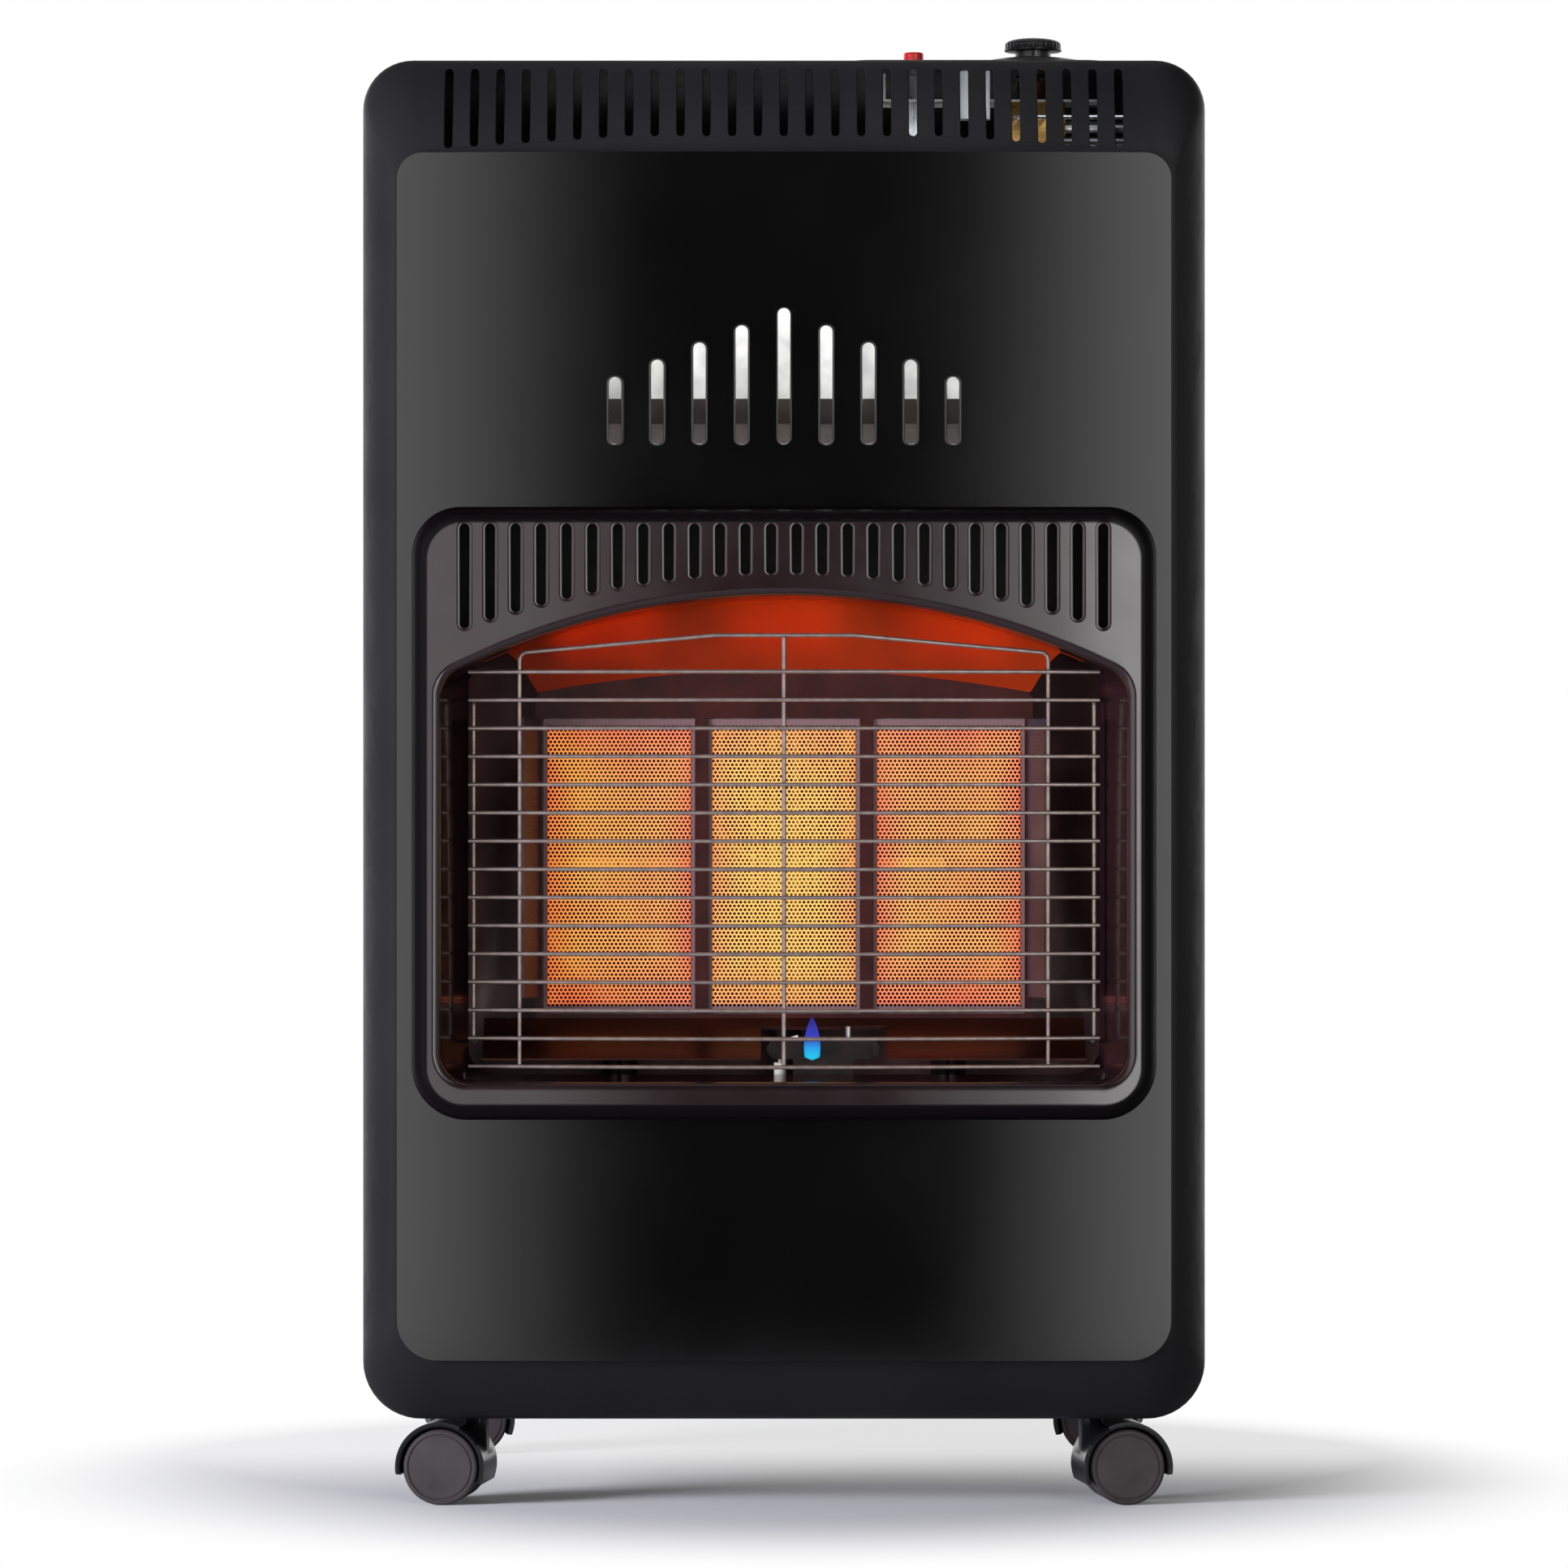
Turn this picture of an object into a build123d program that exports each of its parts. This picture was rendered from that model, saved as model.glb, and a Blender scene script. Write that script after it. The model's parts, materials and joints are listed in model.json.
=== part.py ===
from build123d import *
import math
import os

# Portable gas cabinet heater, in millimetres.
# The origin is on the floor under the middle of the heater. +X is to the viewer's right, +Y goes to the
# back and +Z is up, so the burner window looks along -Y.

# Cabinet
cabinet_width = 420.0
cabinet_top = 722.0
depth = 400.0  # from the bezel's face to the rear cover's face
sheet = 1.2  # cabinet sheet steel
lap_gap = 0.2  # between sheets that lap
seat_gap = 0.3  # between pieces that rest on each other but come apart
over = 10.0  # how far a cutter runs past the sheet that it cuts
cab_entry = 6.0  # from the back of the surround's bands to the cabinet's front edges

# Front surround
surround_sheet = 1.5
surround_radius_top = 25.0
surround_radius_low = 29.0
side_band = 18.0  # width of the sloped bands as seen from the front
top_band = 48.0
low_band = 31.0
band_depth = 24.0
surround_skirt = 16.0  # straight wall behind the bands
band_sections = 5
band_round = 0.6  # 0 is a flat slope and 1 a quarter round
panel_ledge = 8.0  # ledge that the front panel rests on
top_slot_pitch = 12.8
top_slot_width = 4.8
top_slot_drop = 4.5  # from the cabinet's top to the slots' upper ends
top_slot_rise = 8.0  # from the panel's top edge to the slots' lower ends
top_slot_step = 0.87  # slots past the even ones get longer by this much each
top_slot_even = 6
top_slot_margin = 40.0  # no slot's axis is nearer than this to the cabinet's side

# Front panel
panel_sheet = 1.2
panel_radius_top = 13.0
panel_radius_low = 20.0
panel_bow = 6.0
panel_lip = 1.5  # how far its sides stand out from the surround
panel_slot_pitch = 20.9
panel_slot_width = 7.4
panel_slot_rise = 30.5  # from the bezel's top to the slots' lower ends
panel_slot_length = 68.5
panel_slot_step = 8.5
panel_slots_each_side = 4

# Burner bezel
bezel_sheet = 1.2
bezel_proud = 10.0  # its face stands this far in front of the panel's middle
bezel_aside = 8.0  # from the panel's side edge to the bezel's
bezel_rise = 119.7  # from the panel's lower edge to the bezel's
bezel_height = 303.0
bezel_radius_top = 24.0
bezel_radius_low = 27.0
bezel_edge = 8.0
bezel_lap = 6.0  # how far it laps over the panel's window
face_side = 15.0  # width of its face beside the opening
face_low = 19.0  # and below the opening
face_top = 44.0  # and above the arch's crown
opening_arch = 369.0
opening_radius = 14.0
opening_edge = 5.0
liner_start = 8.0  # the opening's wall turns inwards this far behind the face
liner_depth = 24.0
liner_narrow = 12.0  # how much narrower each side of it is at the back
liner_rise = 2.5
liner_drop = 0.5  # its bottom and top move in by these much
bezel_slot_pitch = 12.6
bezel_slot_width = 6.0
bezel_slot_drop = 8.0  # from the bezel's top to the slots' upper ends
bezel_slot_rise = 10.0  # from the arch's crown to the lower end of a slot in the middle
bezel_slot_arc = 477.0  # radius of the line that the slots' lower ends follow
bezel_slot_margin = 20.0  # the row of slots ends this far or more from the bezel's side

# Burner
chassis_sheet = 1.0
chassis_margin = 3.5  # from the bezel's opening wall to the chassis
chassis_front_gap = 0.6
plaque_width = 76.0
plaque_height = 147.0
plaque_thick = 13.0
plaque_rise = 106.0  # from the opening's lower edge to the plaques' middle
plaque_recess = 53.0  # from the bezel's face to the plaques' faces
plaque_edge = 0.6
gasket = 1.5
gasket_fit = 0.05
gasket_inset = 1.0  # from the plaque's faces to the gasket's edges
box_sheet = 1.2
box_depth = 36.0
box_gap = 1.1  # between neighbouring boxes
mixer_radius = 9.0
mixer_setback = 5.0  # from the box's back to the mixing tube's wall
mixer_clearance = 0.5
mixer_drop = 41.3  # from the chassis floor to the mixing tubes' mouths
frame_sheet = 1.2
frame_head = 24.5  # from the plaques' tops to the frame's crown
frame_foot = 8.5  # from the plaques' lower ends to the frame's lower edge
frame_arch = 688.0
frame_border = 1.3  # from the outer boxes to the frame's side edges
frame_radius = 4.0
window_fit = 0.4
reflector_sheet = 0.9
reflector_reach = 17.6
reflector_aside = 7.8  # from the bezel's wall to the reflector's front corners
reflector_sections = 4
low_reflector_aside = 7.0
low_reflector_drop = 19.0
low_reflector_reach = 31.0
low_reflector_lap = 5.0  # its back edge stands this far over the frame's lower edge
low_reflector_belly = 4.0  # how far its middle sags
low_reflector_notch = 3.0  # clearance around the pilot
side_reflector_reach = 18.0
side_reflector_flare = 7.5
side_reflector_gap = 1.5
side_reflector_short = 8.0  # how much shorter than the plaques it is
rail_below = 28.0  # from the mixing tubes' mouths to the rail
rail_half_depth = 8.0
rail_end = 14.0  # past the outer injectors
rail_leg_half = 8.0
injector_radius = 6.0
injector_root = 6.0  # how far it stands out below the rail
injector_length = 18.0
nozzle_radius = 3.0
nozzle_length = 8.0
injector_tail = 14.0  # straight tube below an injector

# Wire guard
wire_radius = 1.0
middle_wire_radius = 1.1
guard_recess = 6.0  # from the bezel's face to the middle wires' centreline
guard_bow = 16.0
guard_aside = 12.5  # from the opening's side to the wires' ends
guard_foot = 7.0  # from the opening's lower edge to the lowest wire
guard_head = 2.6  # from the arch down to the highest wire's ends
guard_wires = 15
hoop_inset = 25.5  # from the wires' ends to the hoop
hoop_below = 4.0  # from the arch down to the hoop's shoulders
hoop_top_below = 17.9  # and to its flat top
hoop_flat = 34.0
leg_inset = 2.5  # from the wires' ends to the legs
leg_foot = 12.0  # from the lowest wire to the legs' lower ends
leg_head = 23.0  # from the hoop's shoulders to the legs' upper ends
wire_bend = 4.0

# Pilot
pilot_x = 14.0
pilot_ahead = 11.0  # from the plaques' faces forward to the pilot's axis
pilot_shield_left = 22.5
pilot_shield_right = 33.5
pilot_shield_rise = 20.0  # from the opening's lower edge to the shield's top
pilot_setback = 9.0  # from the shield to the pilot's axis
pilot_radius = 3.5
pilot_wall = 1.2
pilot_below = 11.3  # from the chassis floor to the foot of the pilot, probe and electrode
pilot_head_drop = 4.0  # from the shield's top to the pilot burner's top
pilot_shield_height = 10.0
pilot_stalk_half = 15.0
pilot_shelf_back = 8.0
thermocouple_x = 32.0
thermocouple_radius = 2.5
tip_drop = 8.0  # from the shield's top down to where the thermocouple narrows
tip_length = 14.0
tip_step = 0.9
electrode_x = -2.0
electrode_radius = 3.0
electrode_wire = 0.8
electrode_drop = 12.0  # from the shield's top to the insulator's top
electrode_rise = 10.0
electrode_reach = 9.0
electrode_bend = 3.0

# Controls
plate_aside = 44.3  # from the cabinet's side to the control plate
plate_length = 134.0
plate_setback = 0.5  # from the surround's skirt
plate_thick = 4.0
plate_corner = 14.0
plate_edge = 2.5
dial_radius = 33.0
dial_rise = 4.4
dial_margin = 0.5  # plate in front of and behind the dial
dial_inset = 5.0  # plate beside the dial
knob_radius = 14.5
knob_height = 9.3  # from the dial's top
knob_push = 3.0
knob_flutes = 18
knob_skirt = 1.2
flute_radius = 1.3
flute_setback = 0.6  # from the knob's edge to the flutes' centres
hub_radius = 9.0
hub_recess = 1.5  # how far the hub sinks into the control plate
hub_clearance = 0.6
spindle_clearance = 0.5
spindle_radius = 3.5
spindle_cover = 6.0  # knob above the spindle's top
spindle_depth = 16.0  # from the bracket's top to the bottom of the valve's bore
running_fit = 0.06
button_spacing = 60.4  # from the knob's axis to the button's
button_radius = 5.0
button_proud = 6.7
button_push = 3.5
button_length = 25.0
button_edge = 1.0
neck_wall = 1.5  # igniter neck around the button
neck_clearance = 2.0  # around that neck in the top cover
bracket_drop = 14.3  # from the cabinet's top down to the bracket's plate
bracket_knob_side = 40.0  # from the knob's axis to the bracket's end
bracket_button_side = 15.6
bracket_leg_height = 26.0
bracket_leg_depth = 8.0
bracket_half_depth = 16.0
valve_half = 16.0
valve_half_depth = 14.0
valve_height = 32.8
valve_chamfer = 3.0
valve_neck_radius = 8.0
valve_neck_rise = 10.0
piezo_radius = 9.0
piezo_height = 28.8
switch_aside = 38.0  # from the knob's axis to the switch's far side
switch_width = 15.5
switch_depth = 12.0
switch_height = 24.0
switch_setback = 2.0
switch_corner = 2.0
inlet_radius = 4.5
inlet_elbow = 1.5  # how much thicker the elbow is than the nozzle
inlet_rise = 12.0  # from the valve's underside to the elbow's axis
inlet_turn = 24.0  # from the elbow's axis down to the nozzle
inlet_drop = 42.0
inlet_back = 26.0
inlet_bend = 10.0

# Tubes and leads
tube_radius = 3.0
tube_aside = 26.3  # from the cabinet's side to the first tube's lane
tube_step = 8.0
tube_bend = 6.0
tube_forward = 4.0  # from the knob's axis forward to the gas tubes
tube_port = 5.0  # from the valve's underside to the first gas tube
pilot_tube_radius = 2.0
pilot_tube_bend = 4.5
pilot_port_rise = 11.0  # from the valve's underside
pilot_port_aside = 8.0  # from the knob's axis
pilot_run_below = 23.3  # from the chassis floor to the pilot tube's crossing
pilot_lane_forward = 22.0
lead_radius = 1.2
probe_port_rise = 22.0
probe_port_aside = 6.0  # from the valve's left side
probe_run_below = 33.3
probe_lane = 15.0  # outside the gas tubes' first lane
probe_bend = 6.0
lead_aside = 22.3
lead_lane_forward = 18.0
lead_fall = 61.0  # from the igniter down to the ignition lead's crossing
lead_turn = 10.0
lead_run_below = 41.3
lead_bend = 9.0

# Back
cover_depth = 30.0  # from the cabinet's back to the rear cover's face
shield_gap = 3.0  # from the burner chassis to the heat shield
shield_drop = 60.3  # from the cabinet's top
shield_radius = 4.0
shield_flange = 14.0
deflector_rise = 45.0  # from the bezel's top to the deflector's bend
deflector_reach = 42.0
deflector_fall = 35.0
deflector_aside = 43.3
deflector_foot = 13.0
deflector_miter = 0.4  # shifts the bend's outer and inner corners apart
split_rise = 44.0  # height of the base plate's sides
split_drop = 40.3  # height of the top cover's sides
tab = 12.0  # half of the lap joints' height
tab_margin = 3.6
front_flange = 10.0
rear_flange = 15.0
base_lip = 20.0
cover_aside = 4.3
cover_foot = 10.0  # from the cabinet's lower edge to the rear cover's
cover_lap = 6.0  # how far the rear cover laps over the top cover
cover_corner = 6.0
cover_rim = 12.0
cover_dish_inset = 28.0
cover_radius = 16.0
stud_radius = 3.0
stud_head = 1.4
stud_inset = 45.0
stud_root = 4.0  # behind the flange's rear face
stud_reach = 5.0
stud_clearance = 0.5
vent_width = 5.0
vent_length = 44.0
vent_columns = 5
vent_rows = 4
vent_pitch_x = 56.0
vent_pitch_z = 14.0
vent_inset = 85.0
screw_front = 105.0  # from the bezel's face to the foremost screws
screw_middle = 130.0  # from the cabinet's back to the middle ones
screw_back = 25.0
screw_head_radius = 3.6
screw_radius = 1.8
screw_length = 7.0

# Castors
wheel_radius = 19.0
wheel_width = 11.5
web_half = 5.0
wheel_gap = 0.5
wheel_edge = 1.6
wheel_cap = 2.5  # wheel left over the axle's end
axle_short = 3.0  # from the wheel's face to the axle's end
hood_clearance = 1.2
hood_wall = 2.5
hood_overhang = 1.0  # past the wheels' outer faces
hood_headroom = 2.6  # from the hood to the surround's lower edge
castor_trail = 16.0
castor_aside = 54.3
castor_inset = 66.0  # from the heater's front and back faces
castor_yaw = 8.0
axle_radius = 2.0
stem_radius = 3.5
boss_radius = 6.0
boss_gap = 0.9  # from the boss to the base plate
hood_foot_outer = 9.0  # degrees under the axle where the hood ends, away from the stem
hood_foot_inner = 22.0  # and on the stem's side
stem_root = 3.0  # from the axle's height to the stem's foot
stem_short = 4.0
socket_radius = 8.0
socket_height = 24.0
socket_cap = 3.0
socket_flange = 5.0
socket_flange_thick = 2.0

# Everything below is worked out from the values above. First the cabinet, which stands on its castors
hood_half = web_half + wheel_gap + wheel_width + hood_overhang
hood_inner = wheel_radius + hood_clearance
hood_outer = hood_inner + hood_wall
floor_gap = wheel_radius + hood_outer + hood_headroom
half_width = cabinet_width / 2
front_y = -depth / 2
cover_face_y = depth / 2
rear_y = cover_face_y - cover_depth
panel_y = front_y + bezel_proud
panel_side_y = panel_y + panel_bow
surround_front_y = panel_side_y + panel_lip
band_back_y = surround_front_y + band_depth
surround_back_y = band_back_y + surround_skirt
cab_inset = surround_sheet + lap_gap
cab_half = half_width - cab_inset
cab_top = cabinet_top - cab_inset
cab_low = floor_gap + cab_inset
cab_front_y = band_back_y + cab_entry
base_top = cab_low + sheet
cover_ceiling = cab_top - sheet
split_low = cab_low + split_rise
split_high = cab_top - split_drop
screw_ys = (front_y + screw_front, rear_y - screw_middle, rear_y - screw_back)

# The front panel and the bezel
panel_half = half_width - side_band
panel_low = floor_gap + low_band
panel_high = cabinet_top - top_band
bow_radius = (panel_half**2 + panel_bow**2) / (2 * panel_bow)
bezel_half = panel_half - bezel_aside
bezel_low = panel_low + bezel_rise
bezel_high = bezel_low + bezel_height
opening_half = bezel_half - face_side
opening_low = bezel_low + face_low
opening_crown = bezel_high - face_top
liner_y = front_y + liner_start
liner_half = opening_half - liner_narrow
top_slot_low = panel_high + top_slot_rise
top_slot_high = cabinet_top - top_slot_drop
top_slots_each_side = int((half_width - top_slot_margin) / top_slot_pitch)
panel_slot_low = bezel_high + panel_slot_rise
panel_slot_high = panel_slot_low + panel_slot_length
bezel_slot_low = opening_crown + bezel_slot_rise
bezel_slot_high = bezel_high - bezel_slot_drop
bezel_slot_count = 2 * int((bezel_half - bezel_slot_margin) / bezel_slot_pitch)

# The burner
plaque_middle = opening_low + plaque_rise
plaque_y = front_y + plaque_recess
frame_y = plaque_y - seat_gap - frame_sheet
box_back_y = plaque_y - seat_gap + box_depth
box_half = plaque_width / 2 + gasket + box_sheet
box_half_height = plaque_height / 2 + gasket + box_sheet
plaque_pitch = 2 * box_half + box_gap
plaque_xs = [-plaque_pitch, 0.0, plaque_pitch]
chassis_back_y = box_back_y + seat_gap + chassis_sheet
chassis_inset = -(bezel_sheet + chassis_margin + chassis_sheet)
chassis_floor = opening_low - bezel_sheet - chassis_margin
frame_crown = plaque_middle + plaque_height / 2 + frame_head
frame_low = plaque_middle - plaque_height / 2 - frame_foot
low_reflector_half = liner_half - low_reflector_aside
mixer_y = box_back_y - mixer_radius - mixer_setback
mixer_low = chassis_floor - mixer_drop
rail_low = mixer_low - rail_below
injector_low = rail_low - injector_root
pilot_y = plaque_y - pilot_ahead
pilot_foot = chassis_floor - pilot_below
pilot_shield_top = opening_low + pilot_shield_rise
tip_low = pilot_shield_top - tip_drop
electrode_top = pilot_shield_top - electrode_drop

# The controls
control_y = surround_back_y + plate_setback + dial_margin + dial_radius
plate_half_depth = dial_radius + dial_margin
plate_right = cab_half - plate_aside
plate_left = plate_right - plate_length
plate_base = cab_top
plate_top = plate_base + plate_thick
dial_top = plate_top + dial_rise
knob_x = plate_right - dial_inset - dial_radius
knob_top = dial_top + knob_height
button_x = knob_x - button_spacing
button_top = plate_top + button_proud
bracket_plate_top = cab_top - bracket_drop
bracket_under = bracket_plate_top - sheet
bracket_leg_low = bracket_plate_top - bracket_leg_height
bracket_right = knob_x + bracket_knob_side
bracket_left = button_x - bracket_button_side
spindle_floor = bracket_plate_top - spindle_depth
valve_low = bracket_under - valve_height
piezo_low = bracket_under - piezo_height
switch_left = knob_x - switch_aside
tube_lane = cab_half - tube_aside
lead_lane = cab_half - lead_aside
pilot_port = valve_low + pilot_port_rise
probe_port = valve_low + probe_port_rise
pilot_run = chassis_floor - pilot_run_below
probe_run = chassis_floor - probe_run_below
lead_run = chassis_floor - lead_run_below
lead_shoulder = piezo_low - lead_fall

# The back and the castors
shield_y = chassis_back_y + shield_gap
shield_top = cab_top - shield_drop
deflector_high = bezel_high + deflector_rise
deflector_half = cab_half - deflector_aside
cover_half = cab_half - cover_aside
cover_low = cab_low + cover_foot
cover_high = split_high + cover_lap
castor_x = cab_half - castor_aside
castor_y = cover_face_y - castor_inset


def arch_height(x):
    # height of the opening's arch at a distance from the middle
    return opening_crown - opening_arch + math.sqrt(opening_arch**2 - x**2)


# The wire guard, which follows that arch
guard_y = front_y + guard_recess
guard_half = opening_half - guard_aside
guard_bend = (guard_half**2 + guard_bow**2) / (2 * guard_bow)
guard_low = opening_low + guard_foot
guard_pitch = (arch_height(guard_half) - guard_head - guard_low) / (guard_wires - 1)
hoop_half = guard_half - hoop_inset
hoop_shoulder = arch_height(hoop_half) - hoop_below
hoop_crown = arch_height(hoop_flat) - hoop_top_below
leg_half = guard_half - leg_inset
leg_low = guard_low + leg_foot
leg_high = hoop_shoulder - leg_head


def front_plane(y):
    return Plane(origin=(0, y, 0), x_dir=(1, 0, 0), z_dir=(0, -1, 0))


def slab(outline, y0, y1):
    # an outline drawn as seen from the front, thickened from y0 to y1
    return extrude(front_plane(y1) * outline, amount=y1 - y0)


def block(x0, x1, y0, y1, z0, z1):
    return Pos((x0 + x1) / 2, (y0 + y1) / 2, (z0 + z1) / 2) * Box(x1 - x0, y1 - y0, z1 - z0)


def post(x, y, z0, z1, radius):
    return Pos(x, y, (z0 + z1) / 2) * Cylinder(radius, z1 - z0)


def peg(x, z, y0, y1, radius):
    return Pos(x, (y0 + y1) / 2, z) * Rot(90, 0, 0) * Cylinder(radius, y1 - y0)


def rounded_rect(half, low, high, radius_low, radius_high):
    face = Pos(0, (low + high) / 2) * Rectangle(2 * half, high - low)
    face = fillet(face.vertices().group_by(Axis.Y)[0], radius_low)
    return fillet(face.vertices().group_by(Axis.Y)[-1], radius_high)


def arch_outline(half, low, crown, arch, radius):
    spring = crown - arch + math.sqrt(arch**2 - half**2)
    sides = Polyline((half, spring), (half, low), (-half, low), (-half, spring))
    top = ThreePointArc((-half, spring), (0, crown), (half, spring))
    face = make_face(Curve() + [sides, top])
    face = fillet(face.vertices().group_by(Axis.Y)[0], radius)
    return fillet(face.vertices().group_by(Axis.Y)[-1], radius)


def opening_outline(inset):
    return arch_outline(
        opening_half - inset,
        opening_low + inset,
        opening_crown - inset,
        opening_arch - inset,
        opening_radius - inset,
    )


def slot_group(slots, width):
    # slots holds x, low end and high end of each upright slot
    shapes = []
    for x, low, high in slots:
        shapes.append(Pos(x, (low + high) / 2) * SlotOverall(high - low, width, rotation=90))
    return Sketch() + shapes


def wire(points, radius, bend):
    path = FilletPolyline(*points, radius=bend)
    return sweep(Plane(origin=path @ 0, z_dir=path % 0) * Circle(radius), path=path)


def group(solids):
    return Compound(children=list(solids))


def bow_cylinder(offset):
    # everything behind the front panel's bowed face, moved forward by offset
    height = 2 * cabinet_top
    return Pos(0, panel_y + bow_radius, 0) * Cylinder(bow_radius + offset, height)


def band_section(share, inset):
    # outline of the surround where the sloped band has covered this share of its width
    return rounded_rect(
        half_width - side_band * share - inset,
        floor_gap + low_band * share + inset,
        cabinet_top - top_band * share - inset,
        surround_radius_low + (panel_radius_low - surround_radius_low) * share - inset,
        surround_radius_top + (panel_radius_top - surround_radius_top) * share - inset,
    )


def surround_form(inset):
    sections = []
    for step in range(band_sections + 1):
        angle = math.radians(90 * step / band_sections)
        share = 1 - math.cos(angle)
        rise = (1 - band_round) * share + band_round * math.sin(angle)
        plane = front_plane(band_back_y + inset - band_depth * rise)
        sections.append(plane * band_section(share, inset))
    return loft(sections) + slab(band_section(0, inset), band_back_y + inset, surround_back_y + inset)


def make_front_surround():
    body = surround_form(0) - surround_form(surround_sheet)
    body -= block(-half_width, half_width, surround_back_y, surround_back_y + over, 0, cabinet_top + over)
    seat = rounded_rect(
        panel_half - panel_ledge,
        panel_low + panel_ledge,
        panel_high - panel_ledge,
        panel_radius_low - panel_ledge,
        panel_radius_top - panel_ledge,
    )
    body -= slab(seat, front_y, band_back_y)
    slots = []
    for index in range(-top_slots_each_side, top_slots_each_side + 1):
        extra = top_slot_step * max(0, abs(index) - top_slot_even)
        slots.append((index * top_slot_pitch, top_slot_low - extra, top_slot_high))
    return body - slab(slot_group(slots, top_slot_width), front_y, surround_back_y)


def panel_outline(inset):
    return rounded_rect(
        panel_half - inset,
        panel_low + inset,
        panel_high - inset,
        panel_radius_low - inset,
        panel_radius_top - inset,
    )


def make_front_panel():
    outer = slab(panel_outline(lap_gap), front_y, surround_front_y) & bow_cylinder(0)
    inner = slab(panel_outline(lap_gap + panel_sheet), front_y, surround_front_y + over)
    body = outer - (inner & bow_cylinder(-panel_sheet))
    window = rounded_rect(
        bezel_half - bezel_lap,
        bezel_low + bezel_lap,
        bezel_high - bezel_lap,
        bezel_radius_low - bezel_lap,
        bezel_radius_top - bezel_lap,
    )
    slots = []
    for index in range(-panel_slots_each_side, panel_slots_each_side + 1):
        top = panel_slot_high - panel_slot_step * abs(index)
        slots.append((index * panel_slot_pitch, panel_slot_low, top))
    body -= slab(window, front_y, surround_front_y)
    return body - slab(slot_group(slots, panel_slot_width), front_y, surround_front_y)


def bezel_form(inset, back_y):
    # the bezel's ring as a solid block, with its outer and inner front edges rounded
    outline = rounded_rect(
        bezel_half - inset,
        bezel_low + inset,
        bezel_high - inset,
        bezel_radius_low - inset,
        bezel_radius_top - inset,
    )
    ring = slab(outline, front_y + inset, back_y) - slab(opening_outline(-inset), front_y, back_y)
    face = ring.faces().sort_by(Axis.Y)[0]
    ring = fillet(face.outer_wire().edges(), bezel_edge - inset)
    face = ring.faces().sort_by(Axis.Y)[0]
    return fillet(face.inner_wires()[0].edges(), opening_edge - inset)


def liner_form(inset):
    front = front_plane(liner_y) * opening_outline(inset)
    narrow = arch_outline(
        liner_half - inset,
        opening_low + liner_rise + inset,
        opening_crown - liner_drop - inset,
        opening_arch - inset,
        opening_radius - inset,
    )
    return loft([front, front_plane(liner_y + liner_depth) * narrow])


def make_burner_bezel():
    back_y = panel_side_y
    ring = bezel_form(0, back_y) - bezel_form(bezel_sheet, back_y + over) - bow_cylinder(lap_gap)
    slots = []
    first = -(bezel_slot_count - 1) / 2
    for index in range(bezel_slot_count):
        x = (first + index) * bezel_slot_pitch
        low = bezel_slot_low - bezel_slot_arc + math.sqrt(bezel_slot_arc**2 - x**2)
        slots.append((x, low, bezel_slot_high))
    ring -= slab(slot_group(slots, bezel_slot_width), front_y - over, front_y + 2 * bezel_sheet)
    return ring + (liner_form(-bezel_sheet) - liner_form(0))


def cabinet_ring(y0, y1):
    outer = rounded_rect(
        cab_half, cab_low, cab_top, surround_radius_low - cab_inset, surround_radius_top - cab_inset
    )
    inner = rounded_rect(
        cab_half - sheet,
        cab_low + sheet,
        cab_top - sheet,
        surround_radius_low - cab_inset - sheet,
        surround_radius_top - cab_inset - sheet,
    )
    return slab(outer - inner, y0, y1), outer


def screw_places():
    for side in (-1, 1):
        for z in (split_low - tab / 2, split_high + tab / 2):
            for y in screw_ys:
                yield side, y, z


def side_drill(side, y, z, x0, x1, radius):
    middle = side * (x0 + x1) / 2
    return Pos(middle, y, z) * Rot(0, 90, 0) * Cylinder(radius, x1 - x0)


def drill_screws(body):
    for side, y, z in screw_places():
        body -= side_drill(side, y, z, cab_half - over, cab_half + over, screw_radius + lap_gap / 2)
    return body


def make_side_panel(side):
    x0 = cab_half - sheet
    wall = block(x0, cab_half, cab_front_y, rear_y, split_low, split_high)
    front = block(x0 - front_flange, x0, cab_front_y, cab_front_y + sheet, split_low, split_high)
    rear = block(x0 - rear_flange, x0, rear_y - sheet, rear_y, split_low, split_high)
    tab_y0 = cab_front_y + tab_margin
    tab_y1 = rear_y - tab_margin
    low = block(x0 - sheet, x0, tab_y0, tab_y1, split_low - tab, split_low + tab)
    high = block(x0 - sheet, x0, tab_y0, tab_y1, split_high - tab, split_high + tab)
    body = wall + front + rear + low + high
    if side < 0:
        body = mirror(body, about=Plane.YZ)
    body = drill_screws(body)
    return body - stud_holes(stud_radius)


def stud_places():
    x = cab_half - sheet - rear_flange / 2
    for side in (-1, 1):
        for z in (split_low + stud_inset, split_high - stud_inset):
            yield side * x, z


def stud_holes(radius):
    holes = [peg(x, z, rear_y - over, rear_y + over, radius) for x, z in stud_places()]
    return Part() + holes


def make_top_cover():
    ring, outline = cabinet_ring(cab_front_y, rear_y)
    body = ring & block(-cab_half, cab_half, cab_front_y, rear_y, split_high, cab_top)
    back = slab(outline, rear_y - sheet, rear_y)
    body += back & block(-cab_half, cab_half, rear_y - sheet, rear_y, split_high, cab_top)
    neck = button_radius + neck_wall + neck_clearance
    body -= post(button_x, control_y, cover_ceiling - over, cab_top + over, neck)
    body -= post(knob_x, control_y, cover_ceiling - over, cab_top + over, hub_radius)
    return drill_screws(body)


def castor_places():
    for name, side, back in (
        ("front_left", -1, -1),
        ("front_right", 1, -1),
        ("rear_left", -1, 1),
        ("rear_right", 1, 1),
    ):
        yield name, side, back


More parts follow.
